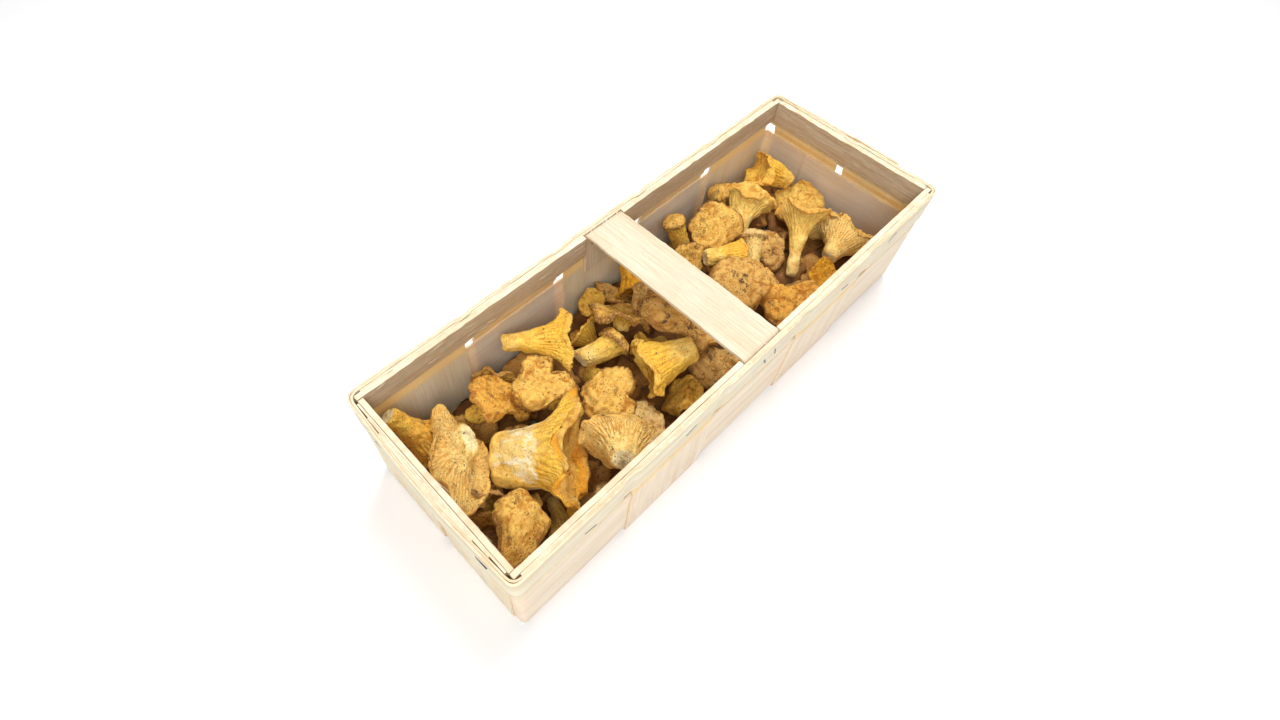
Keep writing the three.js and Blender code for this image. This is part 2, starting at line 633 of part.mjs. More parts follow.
const FAR_PILE = [
  { form: FAN, cap: 24, at: [166, -40, 33], turn: 6, lean: 82, seed: 52, height: 1.25,
    oval: 0.3 },
  { form: TRUMPET, cap: 18, at: [144, -7, 42], turn: 33, lean: 64, seed: 50, height: 2.9,
    stem: 0.27, flare: 3.6, ruffle: 0.18, oval: 0.15 },
  { form: TRUMPET, cap: 21, at: [130, 33, 43], turn: 20, lean: 70, seed: 43, height: 2,
    stem: 0.42, flare: 3, droop: 0.2, dish: -0.05, oval: 0.2 },
  { form: FAN, cap: 18, at: [166, 52, 54], turn: 125, lean: 64, roll: 30, seed: 41,
    height: 1.6, ruffle: 0.24, stem: 0.46, oval: 0.2, wedged: true },
  { form: BUTTON, cap: 8, at: [70, 57, 44], turn: 136, lean: 20, seed: 47, height: 4.6,
    stem: 0.9 },
  { form: PLATE, cap: 20, at: [92, 45, 46], turn: -137, lean: 34, seed: 44, lobes: 0.1,
    dish: -0.12, height: 0.7 },
  { form: PLATE, cap: 23, at: [67, -10, 42], turn: -137, lean: 18, seed: 53, lobes: 0.16,
    dish: -0.26, height: 0.8 },
  { form: PLATE, cap: 22, at: [87, -40, 42], turn: -134, lean: 20, seed: 54, dish: -0.2,
    droop: 0.14, oval: 0.15, height: 0.8 },
  { form: PLATE, cap: 18, at: [182, 13, 46], turn: 180, lean: 24, seed: 51, ruffle: 0.16,
    height: 0.8 },
  { form: BUTTON, cap: 9, at: [104, 11, 44], turn: 42, lean: 60, seed: 45, height: 2.8,
    stem: 0.7 },
  { form: PLATE, cap: 16, at: [113, 0, 42], turn: -100, lean: 24, seed: 49, dish: -0.1 },
  { form: TRUMPET, cap: 12, at: [90, 19, 39], turn: -30, lean: 94, seed: 46, stem: 0.6,
    height: 2.5 },
  { form: BUTTON, cap: 9, at: [126, 57, 42], turn: 140, lean: 16, seed: 42, height: 3.8 },
  { form: PLATE, cap: 13, at: [74, 42, 40], turn: -137, lean: 40, seed: 48 },
];

function segmentsFor(cap) {
  if (cap >= 18) return 18;
  return cap >= 12 ? 14 : 10;
}

function topLayer() {
  const settled = [...NEAR_PILE, ...FAR_PILE].map((look, index) => {
    const geometry = chanterelle(look, segmentsFor(look.cap)).translate(...look.at);
    const number = String(index + 1).padStart(2, '0');
    return { name: `chanterelle_${number}`, wedged: look.wedged, ...settle(geometry) };
  });
  sinkAll(settled);
  for (const { name, geometry } of settled) addPiece(name, geometry, capFlesh);
}

crossStrips();
longStrips();
belt();
rimBand();
rimLaths();
handle();
bottomLayer();
topLayer();

export default group;
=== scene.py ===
"""A chip-wood basket filled with chanterelles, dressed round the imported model, in metres."""
import math

import bpy
import numpy as np
from mathutils import Matrix, Vector


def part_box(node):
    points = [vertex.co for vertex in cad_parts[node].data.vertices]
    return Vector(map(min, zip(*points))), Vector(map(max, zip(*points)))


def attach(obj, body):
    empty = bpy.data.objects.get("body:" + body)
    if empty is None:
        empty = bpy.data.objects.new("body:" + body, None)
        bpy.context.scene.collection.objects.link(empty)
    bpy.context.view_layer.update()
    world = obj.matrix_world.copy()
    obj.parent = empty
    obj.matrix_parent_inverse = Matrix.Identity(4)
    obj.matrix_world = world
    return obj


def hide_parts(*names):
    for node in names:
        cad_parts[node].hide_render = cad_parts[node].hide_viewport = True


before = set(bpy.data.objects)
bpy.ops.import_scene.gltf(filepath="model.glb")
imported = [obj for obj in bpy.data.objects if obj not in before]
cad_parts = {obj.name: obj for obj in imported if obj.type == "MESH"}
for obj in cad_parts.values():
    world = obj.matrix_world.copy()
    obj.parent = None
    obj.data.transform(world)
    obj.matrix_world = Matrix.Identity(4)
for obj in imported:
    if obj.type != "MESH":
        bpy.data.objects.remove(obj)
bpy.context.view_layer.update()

# ---------------------------------------------------------------------------- camera
# The basket is seen from above one corner, close by and through a short lens, so that the
# near end looks wider than the far one.
sight = Vector((0.401, 0.377, -0.835)).normalized()
level = Vector((0.717, -0.697, 0.029))
level = (level - sight * level.dot(sight)).normalized()
upward = level.cross(sight)
stand = (-0.2309, -0.1473, 0.4301)
bpy.ops.object.select_all(action="DESELECT")
bpy.ops.object.camera_add()
camera = bpy.context.object
camera.name = "camera"
camera.matrix_world = Matrix([
    (level[row], upward[row], -sight[row], stand[row]) for row in range(3)
] + [(0, 0, 0, 1)])
camera.data.sensor_width = 36
camera.data.lens = 18.956
camera.data.shift_x = 0.0358
camera.data.shift_y = -0.0155
camera.data.clip_start = 0.01
bpy.context.scene.camera = camera

# ---------------------------------------------------------------------------- table and light
# A plain pale table top. The light is soft and mostly from overhead: a wide lamp above, a
# weaker one from the near side, and an even white surround.


def new_finish(name, sockets):
    """A new finish with sockets of its shader set. Gives it, its node tree and its shader."""
    made = bpy.data.materials.new(name)
    made.use_nodes = True
    shader = made.node_tree.nodes["Principled BSDF"]
    for socket, value in sockets.items():
        shader.inputs[socket].default_value = value
    return made, made.node_tree, shader


bpy.ops.object.select_all(action="DESELECT")
bpy.ops.mesh.primitive_plane_add(size=8, location=(0, 0, -0.0003))
table_top = bpy.context.object
table_top.name = "table_top"
bpy.ops.object.transform_apply(location=True, rotation=True, scale=True)
table_white = new_finish("table_white", {"Base Color": (0.95, 0.95, 0.95, 1), "Roughness": 0.9})
table_top.data.materials.append(table_white[0])

for lamp_name, place, size, power in (
    ("lamp_overhead", (0.40, 0.22, 1.25), 0.6, 14),
    ("lamp_near", (-0.60, -0.50, 1.0), 0.7, 9),
):
    bpy.ops.object.light_add(type="AREA", location=place)
    lamp = bpy.context.object
    lamp.name = lamp_name
    lamp.data.size = size
    lamp.data.energy = power
    lamp.rotation_euler = (-Vector(place)).to_track_quat("-Z", "Y").to_euler()

surround = bpy.data.worlds.new("surround")
bpy.context.scene.world = surround
surround.use_nodes = True
sky = surround.node_tree.nodes["Background"].inputs
sky["Color"].default_value = (1, 1, 1, 1)
sky["Strength"].default_value = 0.43
bpy.context.scene.view_settings.view_transform = "Standard"

# ---------------------------------------------------------------------------- cross strips
# Five wide strips of poplar veneer, each folded up from the bottom into a U. The odd ones run
# inside the belt and the even ones outside it. Peeled veneer has long fine grain and pale,
# slightly fuzzy cut edges.
INNER_HALF_LENGTH = 0.191
INNER_HALF_WIDTH = 0.065
RIM_TOP = 0.096
VENEER = 0.0012
LAYER_INNER = 0.0042
LAYER_MIDDLE = 0.0055
LAYER_OUTER = 0.0068
BELT_TOP = 0.063
BAND_BOTTOM = 0.071
STRIP_TOP = 0.0952
STRIP_WIDTH = 0.070
STRIP_PITCH = 0.0775
# heights of the three layers of the bottom: outer cross strips, long strips, inner ones
BOTTOM_OUTER = 0.0005
BOTTOM_MIDDLE = 0.0018
BOTTOM_INNER = 0.0031


def draw(seed, index):
    """A repeatable draw between 0 and 1."""
    spread = np.sin(seed * 12.9898 + index * 78.233) * 43758.5453
    return spread - np.floor(spread)


def drift(places, seed, longest, waves=5):
    """A seeded wandering line, about -1 to 1. Its longest wave is given in metres."""
    total = np.zeros(np.shape(places))
    for k in range(waves):
        pace = (0.8 + 0.4 * draw(seed, k)) * 1.7**k / longest
        total = total + np.sin(2 * np.pi * (places * pace + draw(seed, k + 40))) / 1.25**k
    return total / 2.4


def folded_route(points, radius, chords=4):
    """Rounds each inner corner of a route with a short bend of a few chords."""
    points = [Vector(p) for p in points]
    route = [points[0]]
    for before, corner, after in zip(points, points[1:], points[2:]):
        back, on = before - corner, after - corner
        half = back.angle(on) / 2
        reach = min(radius / math.tan(half), 0.45 * back.length, 0.45 * on.length)
        if reach < 0.0003:
            route.append(corner)
            continue
        start, end = corner + back.normalized() * reach, corner + on.normalized() * reach
        for k in range(chords + 1):
            t = k / chords
            route.append(start * (1 - t) ** 2 + corner * 2 * t * (1 - t) + end * t * t)
    return route + [points[-1]]


def node(tree, kind, sockets=None, **settings):
    """Adds a shader node. A socket is given a value, or another node's output to link."""
    made = tree.nodes.new(kind)
    for key, value in settings.items():
        setattr(made, key, value)
    for socket, value in (sockets or {}).items():
        if isinstance(value, bpy.types.NodeSocket):
            tree.links.new(value, made.inputs[socket])
        else:
            made.inputs[socket].default_value = value
    return made


def mottle(tree, place, stretch, detail=3.0, rough=0.55):
    """Soft noise, stretched so many times a metre along each axis."""
    if not isinstance(stretch, tuple):
        stretch = (stretch,) * 3
    laid = node(tree, "ShaderNodeMapping", {"Vector": place, "Scale": stretch})
    return node(tree, "ShaderNodeTexNoise", {
        "Vector": laid.outputs["Vector"], "Scale": 1.0, "Detail": detail, "Roughness": rough,
    }).outputs["Fac"]


def between(tree, value, low, high, bottom=0.0, top=1.0):
    """The value's place between low and high, eased, from bottom to top."""
    return node(tree, "ShaderNodeMapRange", {
        "Value": value, "From Min": low, "From Max": high, "To Min": bottom, "To Max": top,
    }, interpolation_type="SMOOTHSTEP").outputs["Result"]


def sum_of(tree, first, second):
    return node(tree, "ShaderNodeMath", {0: first, 1: second}, operation="ADD").outputs[0]


def product(tree, first, second):
    return node(tree, "ShaderNodeMath", {0: first, 1: second}, operation="MULTIPLY").outputs[0]


def own_place(tree):
    """Where a point lies on its own piece, and its height there."""
    spot = node(tree, "ShaderNodeTexCoord").outputs["Object"]
    return spot, node(tree, "ShaderNodeSeparateXYZ", {"Vector": spot}).outputs["Z"]


def shaded(colour, red, green, blue):
    return tuple(min(1, c * k) for c, k in zip(colour, (red, green, blue)))


def tinted(tree, amount, under, over):
    """One colour laid over another by an amount."""
    mixer = node(tree, "ShaderNodeMix", data_type="RGBA")
    for socket, value in ((0, amount), (6, under), (7, over)):
        if isinstance(value, bpy.types.NodeSocket):
            tree.links.new(value, mixer.inputs[socket])
        else:
            mixer.inputs[socket].default_value = value if socket == 0 else (*value, 1)
    return mixer.outputs[2]


def layered(tree, colour, *layers):
    """Colours laid over one another. Each layer has what between() takes, then its colour."""
    for *spread, shade in layers:
        colour = tinted(tree, between(tree, *spread), colour, shade)
    return colour


def wood(name, pale, tan, grain=1.0, fuzz=0.25, flecks=0.5, depth=0.0002, glow=0.12, lit=0.0):
    """Wood whose grain follows the strip's own run: its UV is in metres along and across. lit
    is how strong a painted golden glow it gets between belt and band, in place of light coming
    through a single layer."""
    made, tree, shader = new_finish(name, {
        "Specular IOR Level": 0.3, "Subsurface Weight": glow,
        "Subsurface Radius": (1.0, 0.62, 0.30), "Subsurface Scale": 0.005})
    run = node(tree, "ShaderNodeUVMap", uv_map="UVMap").outputs["UV"]
    bands = mottle(tree, run, (5, 90, 1), 4)
    fibres = mottle(tree, run, (28, 1300, 1), 4, 0.65)
    hairs = mottle(tree, run, (130, 3800, 1), 2, 0.6)
    marks = mottle(tree, run, (420, 1500, 1), 2, 0.5)
    clouds = mottle(tree, run, (16, 22, 1), 3)
    colour = layered(
        tree, pale, (bands, 0.32, 0.72, tan),
        (fibres, 0.38, 0.66, 0, 0.5 * grain, shaded(tan, 0.80, 0.70, 0.58)),
        (hairs, 0.52, 0.72, 0, 0.45 * grain, shaded(pale, 1.08, 1.08, 1.08)),
        (clouds, 0.5, 0.75, 0, 0.35, shaded(tan, 0.93, 0.88, 0.84)),
        (marks, 0.70, 0.78, 0, flecks, (0.30, 0.17, 0.07)))
    if lit:
        # a painted golden glow between belt and band, standing in for light shining through the
        # single layer of veneer
        height = own_place(tree)[1]
        single = product(tree, between(tree, height, 0.061, 0.064, 0, lit),
                         between(tree, height, 0.071, 0.076, 1, 0))
        colour = tinted(tree, single, colour, (0.93, 0.62, 0.27))
    tree.links.new(colour, shader.inputs["Base Color"])
    bump = node(tree, "ShaderNodeBump", {
        "Strength": fuzz, "Distance": depth, "Height": sum_of(tree, fibres, hairs),
    })
    tree.links.new(bump.outputs["Normal"], shader.inputs["Normal"])
    tree.links.new(between(tree, fibres, 0.3, 0.7, 0.62, 0.82), shader.inputs["Roughness"])
    return made


veneer_warm = wood("veneer_warm", (0.95, 0.80, 0.60), (0.87, 0.66, 0.43), 0.9, 0.6, 0.5,
                   glow=0.5, lit=0.6)
veneer_rose = wood("veneer_rose", (0.93, 0.76, 0.60), (0.84, 0.63, 0.47), 0.9, 0.6, 0.5,
                   glow=0.5, lit=0.6)
veneer_edge = wood("veneer_edge", (0.86, 0.76, 0.59), (0.76, 0.60, 0.40), 0.7, 0.5, 0.3)


def points_of(piece):
    flat = np.empty(len(piece.data.vertices) * 3)
    piece.data.vertices.foreach_get("co", flat)
    return flat.reshape(-1, 3)


def move_points(piece, points):
    piece.data.vertices.foreach_set("co", points.ravel())


def modified(piece, kind, **settings):
    """Gives the piece a modifier and applies it."""
    bpy.ops.object.modifier_add(type=kind)
    added = piece.modifiers[-1]
    for key, value in settings.items():
        setattr(added, key, value)
    bpy.ops.object.modifier_apply(modifier=added.name)


def on_edge(a, b, width):
    """Lays a strip round the walls: its route lies level and its width stands up."""
    return a, b, width


def across(a, b, width):
    """Lays a strip across the basket: its route stands upright and its width lies along X."""
    return width, a, b


def bent_strip(name, route, low, high, place, seed, skins, thickness=VENEER, step=0.003,
               rows=12, ragged=(0.0005, 0.0005), warp=0.0, relief=0.0):
    """A flat strip: a grid laid along its route, then given its thickness.

    place turns two columns of route and one of width into a point. ragged is how uneven the
    low and the high edge are; relief is the height of the fibres along the faces."""
    route = np.array([tuple(p) for p in route])
    run = np.r_[0, np.cumsum(np.hypot(*np.diff(route, axis=0).T))]
    even = np.arange(step, run[-1], step)
    even = even[np.min(np.abs(even[:, None] - run[None, :]), axis=1) > 0.45 * step]
    stations = np.sort(np.r_[run, even])
    bpy.ops.object.select_all(action="DESELECT")
    bpy.ops.mesh.primitive_grid_add(x_subdivisions=len(stations) - 1, y_subdivisions=rows, size=2)
    strip = bpy.context.object
    strip.name = strip.data.name = name
    flat = points_of(strip)
    column = np.unique(np.round(flat[:, 0], 5), return_inverse=True)[1]
    t = (flat[:, 1] + 1) / 2
    s = stations[column]
    at_end = (column == 0) | (column == len(stations) - 1)
    s = s + np.where(at_end, 0.0004 * drift(t, seed + 3, 0.3), 0)
    width = low + (high - low) * t
    width += np.where(t < 0.001, ragged[0] * drift(s, seed, 0.05, 7), 0)
    width += np.where(t > 0.999, ragged[1] * drift(s, seed + 1, 0.05, 7), 0)
    centre = [np.interp(s, run, route[:, k]) for k in (0, 1)]
    ahead = [np.interp(np.clip(s + 0.0008, 0, run[-1]), run, route[:, k]) for k in (0, 1)]
    behind = [np.interp(np.clip(s - 0.0008, 0, run[-1]), run, route[:, k]) for k in (0, 1)]
    heading = np.array([ahead[0] - behind[0], ahead[1] - behind[1]])
    heading /= np.maximum(np.hypot(*heading), 1e-9)
    lift = warp * drift(s + 0.4 * width, seed + 5, 0.11, 3)
    fibre = np.round(t * rows) + 100
    lift = lift + relief * drift(s + 0.013 * fibre, seed + 9, 0.02, 4) * (
        0.4 + draw(seed, fibre))
    a = centre[0] - heading[1] * lift
    b = centre[1] + heading[0] * lift
    move_points(strip, np.column_stack(place(a, b, width)))
    corners = np.empty(len(strip.data.loops), int)
    strip.data.loops.foreach_get("vertex_index", corners)
    lane = np.column_stack([s + 1.37 * seed, width + 0.53 * seed])
    strip.data.uv_layers[0].data.foreach_set("uv", lane[corners].ravel())
    strip.data.uv_layers[0].name = "UVMap"
    for skin in skins:
        strip.data.materials.append(skin)
    modified(strip, "SOLIDIFY", thickness=thickness, offset=0, use_even_offset=True,
             material_offset_rim=1)
    bpy.ops.object.shade_smooth_by_angle(angle=math.radians(40))
    return strip


def fit(piece, slot, *nodes):
    """The piece is part of the basket and takes the place of any plain solids; slot is not used."""
    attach(piece, "root")
    if nodes:
        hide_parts(*nodes)


def wall_route(reach, bottom, outside):
    """The U of a strip up both walls. Outside the belt it steps in again under the band."""
    inner = reach + LAYER_INNER
    lower = reach + LAYER_OUTER if outside else inner
    left = [(-inner, STRIP_TOP)]
    if outside:
        left += [(-inner, BAND_BOTTOM - 0.001), (-lower, BELT_TOP + 0.001)]
    left.append((-lower, bottom))
    right = [(-a, b) for a, b in reversed(left)]
    return folded_route(left + right, 0.003)


for i in range(5):
    outside = i % 2 == 1
    middle = (i - 2) * STRIP_PITCH
    strip = bent_strip(
        f"woven_cross_strip_{i + 1}",
        wall_route(INNER_HALF_WIDTH, BOTTOM_OUTER if outside else BOTTOM_INNER, outside),
        middle - STRIP_WIDTH / 2, middle + STRIP_WIDTH / 2,
        across, 11 + i, (veneer_rose if outside else veneer_warm, veneer_edge), warp=0.00012)
    fit(strip, "woven_veneer", f"cross_strip_{i + 1}")

# ---------------------------------------------------------------------------- long strips
# Two strips of the same veneer run the length of the bottom, under the odd cross strips and
# over the even ones, and are folded up outside the belt at both ends.
LONG_HALF_WIDTH = 0.030
LONG_MIDDLE = 0.03325
for side, number in ((-1, 1), (1, 2)):
    middle = side * LONG_MIDDLE
    strip = bent_strip(
        f"woven_long_strip_{number}", wall_route(INNER_HALF_LENGTH, BOTTOM_MIDDLE, True),
        middle - LONG_HALF_WIDTH, middle + LONG_HALF_WIDTH, lambda a, b, width: (a, width, b),
        24 + side, (veneer_warm, veneer_edge), warp=0.00012)
    fit(strip, "woven_veneer", f"long_strip_{number}")

# ---------------------------------------------------------------------------- belt
# One strip woven round the four walls, between the inner and the outer strips. Its ends lap
# on the far end wall.
BELT_BOTTOM = 0.0046


def wall_corners(layer):
    """The corners of the wall outline at a layer, from the far right one round to the far left."""
    x, y = INNER_HALF_LENGTH + layer, INNER_HALF_WIDTH + layer
    return [(x, -y), (-x, -y), (-x, y), (x, y)]


far_wall = INNER_HALF_LENGTH + LAYER_MIDDLE
belt = bent_strip(
    "woven_belt",
    folded_route(
        [(INNER_HALF_LENGTH + LAYER_INNER, 0.030), (INNER_HALF_LENGTH + LAYER_INNER, -0.023),
         (far_wall, -0.031), *wall_corners(LAYER_MIDDLE), (far_wall, -0.020)], 0.003),
    BELT_BOTTOM, BELT_TOP, on_edge, 31, (veneer_rose, veneer_edge),
    ragged=(0.0003, 0.0007))
fit(belt, "woven_veneer", "belt")

# ---------------------------------------------------------------------------- rim band
# A thin band goes twice round the rim outside everything and holds the strips. It is drawn in
# a little between them. It bows out at the near end, where three short lengths of veneer
# pack it, and its outer end has sprung away from the far end wall.
BOW = 0.2005
LAP_START = 0.050
LAP_END = LAP_START - 0.088
band_wood = wood("band_wood", (0.88, 0.78, 0.61), (0.76, 0.61, 0.42), 1.0, 0.5, 0.3, glow=0.5)
band_edge = wood("band_edge", (0.84, 0.72, 0.53), (0.70, 0.52, 0.33), 1.0, 0.5, 0.3)
step_out = LAYER_OUTER - LAYER_MIDDLE
DRAWN_IN = 0.0011


def drawn_in(start, end, middles):
    """The points of a straight run that dips towards the basket at each middle."""
    start, end = np.array(start), np.array(end)
    ahead = (end - start) / np.hypot(*(end - start))
    inward = np.array((ahead[1], -ahead[0])) * DRAWN_IN
    points = [start]
    for middle in middles:
        centre = start + ahead * ((middle - start) @ ahead)
        points += [centre - ahead * 0.007, centre - ahead * 0.003 + inward,
                   centre + ahead * 0.003 + inward, centre + ahead * 0.007]
    return [(*point, 0) for point in (*points, end)]


gaps = [((k + 0.5) * STRIP_PITCH, 0) for k in (1, 0, -1, -2)]
first, second = wall_corners(LAYER_MIDDLE), wall_corners(LAYER_OUTER)
band = bent_strip(
    "wrapped_rim_band",
    folded_route([
        *drawn_in((far_wall, LAP_START), first[0], [(0, 0)]),
        *drawn_in(first[0], first[1], gaps)[1:],
        (-BOW + step_out, -0.018, 0), (-BOW + step_out, 0.018, 0),
        *drawn_in(first[2], first[3], gaps[::-1]),
        (far_wall + 0.0002, LAP_START + 0.012, 0),
        *drawn_in((far_wall + step_out, LAP_START - 0.002), second[0], [(0, 0)]),
        *drawn_in(second[0], second[1], gaps)[1:],
        (-BOW, -0.018, 0), (-BOW, 0.018, 0),
        *drawn_in(second[2], (second[3][0] + 0.0011, second[3][1]), gaps[::-1]),
        (far_wall + 2 * step_out + 0.0001, LAP_START - 0.004, 0), (BOW, LAP_END, 0),
    ], 0.006),
    BAND_BOTTOM, RIM_TOP, on_edge, 37, (band_wood, band_edge),
    ragged=(0.0006, 0.0005), rows=10)
fit(band, "rim_veneer", "rim_band")
# how far out each packing length lies, half its length, how far its ends turn in, and its top
PACKING = ((0.1953, 0.0031, 0, 0.0953), (0.1966, 0.052, 0.0006, 0.0955),
           (0.1979, 0.040, 0.0010, 0.0957))
for count, (reach, half, tuck, top) in enumerate(PACKING):
    spare = bent_strip(
        f"near_end_veneer_{count + 1}",
        folded_route([(-reach + tuck, -half), (-reach, -0.4 * half), (-reach, 0.4 * half),
                      (-reach + tuck, half)], 0.004),
        0.076, top, on_edge, 61 + count, (band_wood, band_edge), ragged=(0.0006, 0.0003), rows=6)
    fit(spare, "rim_veneer")

# ---------------------------------------------------------------------------- laths
# Rough-sawn laths stiffen the rim from inside: two on each side wall, parted by the handle,
# and one on each end wall. The saw leaves raised fibres along their faces.
lath_wood = wood("lath_wood", (0.90, 0.77, 0.57), (0.72, 0.53, 0.33), 1.6, 1.0, 0.6, 0.0010)
lath_edge = wood("lath_edge", (0.86, 0.75, 0.57), (0.74, 0.57, 0.38), 1.1, 0.6, 0.3, 0.0003)


def sawn_lath(name, along_x, seed):
    low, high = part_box(name)
    if along_x:
        level_y = (low.y + high.y) / 2
        route = [(low.x, level_y), (high.x, level_y)]
        thickness = high.y - low.y
    else:
        level_x = (low.x + high.x) / 2
        route = [(level_x, low.y), (level_x, high.y)]
        thickness = high.x - low.x
    lath = bent_strip(
        "sawn_" + name, route, low.z, high.z, on_edge, seed, (lath_wood, lath_edge),
        thickness + 0.0001, 0.004, 22, (0.00025, 0.00035), relief=0.00018)
    modified(lath, "BEVEL", width=0.0004, segments=2, limit_method="ANGLE",
             angle_limit=math.radians(50))
    fit(lath, "sawn_lath", name)


for count, name in enumerate(("side_lath_right_near", "side_lath_right_far",
                              "side_lath_left_near", "side_lath_left_far")):
    sawn_lath(name, True, 41 + count)
for count, name in enumerate(("end_lath_near", "end_lath_far")):
    sawn_lath(name, False, 47 + count)

# ---------------------------------------------------------------------------- handle
# One flat strip across the middle. Its ends are folded down inside the walls, and the fold
# has torn some of its outer fibres.
HANDLE_THICK = 0.0022
HANDLE_HALF_WIDTH = 0.0165
LEG_END = 0.058
handle_wood = wood("handle_wood", (0.80, 0.71, 0.55), (0.70, 0.59, 0.42), 1.2, 0.9, 1.0, 0.0004)
leg_y = INNER_HALF_WIDTH + 0.0034 - HANDLE_THICK / 2 - 0.0002
top_z = RIM_TOP - HANDLE_THICK / 2
handle = bent_strip(
    "folded_handle",
    folded_route([(-leg_y, LEG_END), (-leg_y, top_z), (0, top_z + 0.0004), (leg_y, top_z),
                  (leg_y, LEG_END)], 0.0025),
    -HANDLE_HALF_WIDTH, HANDLE_HALF_WIDTH, across, 53, (handle_wood, veneer_edge),
    HANDLE_THICK, 0.003, 20, (0.0003, 0.0004), relief=0.00005)
fit(handle, "handle_wood", "handle")

# ---------------------------------------------------------------------------- chanterelle flesh
# The caps are tan to orange, the folds and the stem yellow to cream. The flesh lets a little
# light through, bruises brown at the margin, and carries specks of earth.
TAN = (0.82, 0.49, 0.13)
ORANGE = (0.82, 0.43, 0.09)
YELLOW = (0.92, 0.60, 0.11)
CREAM = (0.90, 0.66, 0.23)
BROWN = (0.30, 0.13, 0.035)
# painted shade for the furrows between the folds
FURROW_SHADE = (0.46, 0.20, 0.025)
CUT_FLESH = (0.92, 0.76, 0.42)


def flesh(name, top, folds, stem, margin, furrow=FURROW_SHADE, dirt=0.6, specks=0.9, peel=0.0,
          bruise=0.6):
    """Mushroom flesh. It follows the piece's own attributes: top is 1 over the cap, along runs
    from the foot to the margin, crest is 1 on a fold, edge is 1 at the margin, cut is 1 over
    the cut foot, relief is -1 in a crease and 1 on a lump, and fibre runs with the stem."""
    made, tree, shader = new_finish(name, {
        "Specular IOR Level": 0.42, "Subsurface Weight": 0.15,
        "Subsurface Radius": (1.0, 0.45, 0.12), "Subsurface Scale": 0.002})

    def grown(key, output="Fac"):
        return node(tree, "ShaderNodeAttribute", attribute_name=key).outputs[output]

    spot, height = own_place(tree)
    wide = mottle(tree, spot, 62, 3)
    blotch = mottle(tree, spot, 190, 4, 0.6)
    fine = mottle(tree, spot, 560, 4, 0.65)
    pores = mottle(tree, spot, 1900, 2)
    grain = mottle(tree, grown("fibre", "Vector"), (1.3, 1.3, 2.4), 4, 0.65)
    # yellow folds over a paler stem, with painted shade in the furrows between them, tan on top
    climb = sum_of(tree, grown("along"), between(tree, wide, 0.3, 0.7, -0.16, 0.16))
    colour = layered(tree, stem, (climb, 0.22, 0.62, folds))
    hollow = node(tree, "ShaderNodeMapRange", {
        "Value": grown("crest"), "From Min": 0.0, "From Max": 0.7, "To Min": 0.78, "To Max": 0.0,
    }).outputs["Result"]
    colour = tinted(tree, hollow, colour, furrow)
    colour = tinted(tree, grown("top"), colour, top)
    # paler and darker clouds, blotches and fibrils, a painted highlight on the lumps and painted
    # shade in the creases
    relief = grown("relief")
    colour = layered(
        tree, colour,
        (wide, 0.44, 0.64, 0, 0.5, shaded(top, 1.12, 1.20, 1.1)),
        (blotch, 0.50, 0.66, 0, 0.7, shaded(top, 0.84, 0.66, 0.42)),
        (grain, 0.44, 0.68, 0, 0.5, shaded(top, 0.82, 0.62, 0.36)),
        (fine, 0.50, 0.66, 0, 0.5, shaded(folds, 1.10, 1.22, 1.25)),
        (relief, 0.1, 0.65, 0, 0.5, shaded(top, 1.16, 1.24, 1.2)),
        (relief, -0.9, 0.05, 0.8, 0, shaded(top, 0.60, 0.39, 0.17)))
    # fine brown cracks, and the bruised margin
    cracks = node(tree, "ShaderNodeMath", {0: sum_of(tree, blotch, -0.47)},
                  operation="ABSOLUTE").outputs[0]
    cracks = product(tree, between(tree, cracks, 0.0, 0.010, 0.7, 0),
                     between(tree, wide, 0.40, 0.60))
    colour = tinted(tree, cracks, colour, shaded(top, 0.34, 0.21, 0.10))
    brown_edge = product(tree, grown("edge"), between(tree, fine, 0.25, 0.62))
    colour = layered(tree, colour, (brown_edge, 0.05, 0.75, 0, bruise, margin))
    if peel:
        patch = mottle(tree, spot, 42, 3, 0.45)
        bare = product(tree, between(tree, patch, 0.44, 0.49, 0, peel),
                       between(tree, climb, 0.60, 0.80, 1, 0))
        bare = product(tree, bare, between(tree, climb, 0.08, 0.22))
        strands = mottle(tree, grown("fibre", "Vector"), (1.6, 1.6, 2), 3, 0.6)
        white = layered(tree, (0.88, 0.76, 0.48), (strands, 0.40, 0.60, (0.82, 0.57, 0.19)))
        colour = tinted(tree, bare, colour, white)
    raw = product(tree, grown("cut"), between(tree, blotch, 0.30, 0.55, 0.45, 1))
    colour = tinted(tree, raw, colour, CUT_FLESH)
    # darker low down: painted shade deep in the pile, partly earth grime too; then smears and
    # specks of earth
    smear = mottle(tree, spot, 120, 6, 0.72)
    colour = layered(
        tree, colour, (height, 0.014, 0.040, 0.65, 0, shaded(top, 0.34, 0.18, 0.08)),
        (smear, 0.55, 0.64, 0, dirt, (0.13, 0.068, 0.028)))
    crowd = between(tree, mottle(tree, spot, 130, 2), 0.40, 0.56)
    dots = between(tree, mottle(tree, spot, 1050, 1.5), 0.61, 0.65)
    dots = product(tree, product(tree, dots, crowd), specks)
    colour = tinted(tree, dots, colour, (0.07, 0.034, 0.016))
    colour = node(tree, "ShaderNodeHueSaturation", {
        "Color": colour, "Saturation": 1.03, "Value": 1.02}).outputs["Color"]
    tree.links.new(colour, shader.inputs["Base Color"])
    rough = sum_of(tree, sum_of(tree, fine, grain), product(tree, pores, 0.35))
    bump = node(tree, "ShaderNodeBump", {"Strength": 0.9, "Distance": 0.0015, "Height": rough})
    tree.links.new(bump.outputs["Normal"], shader.inputs["Normal"])
    tree.links.new(between(tree, fine, 0.3, 0.7, 0.38, 0.66), shader.inputs["Roughness"])
    return made


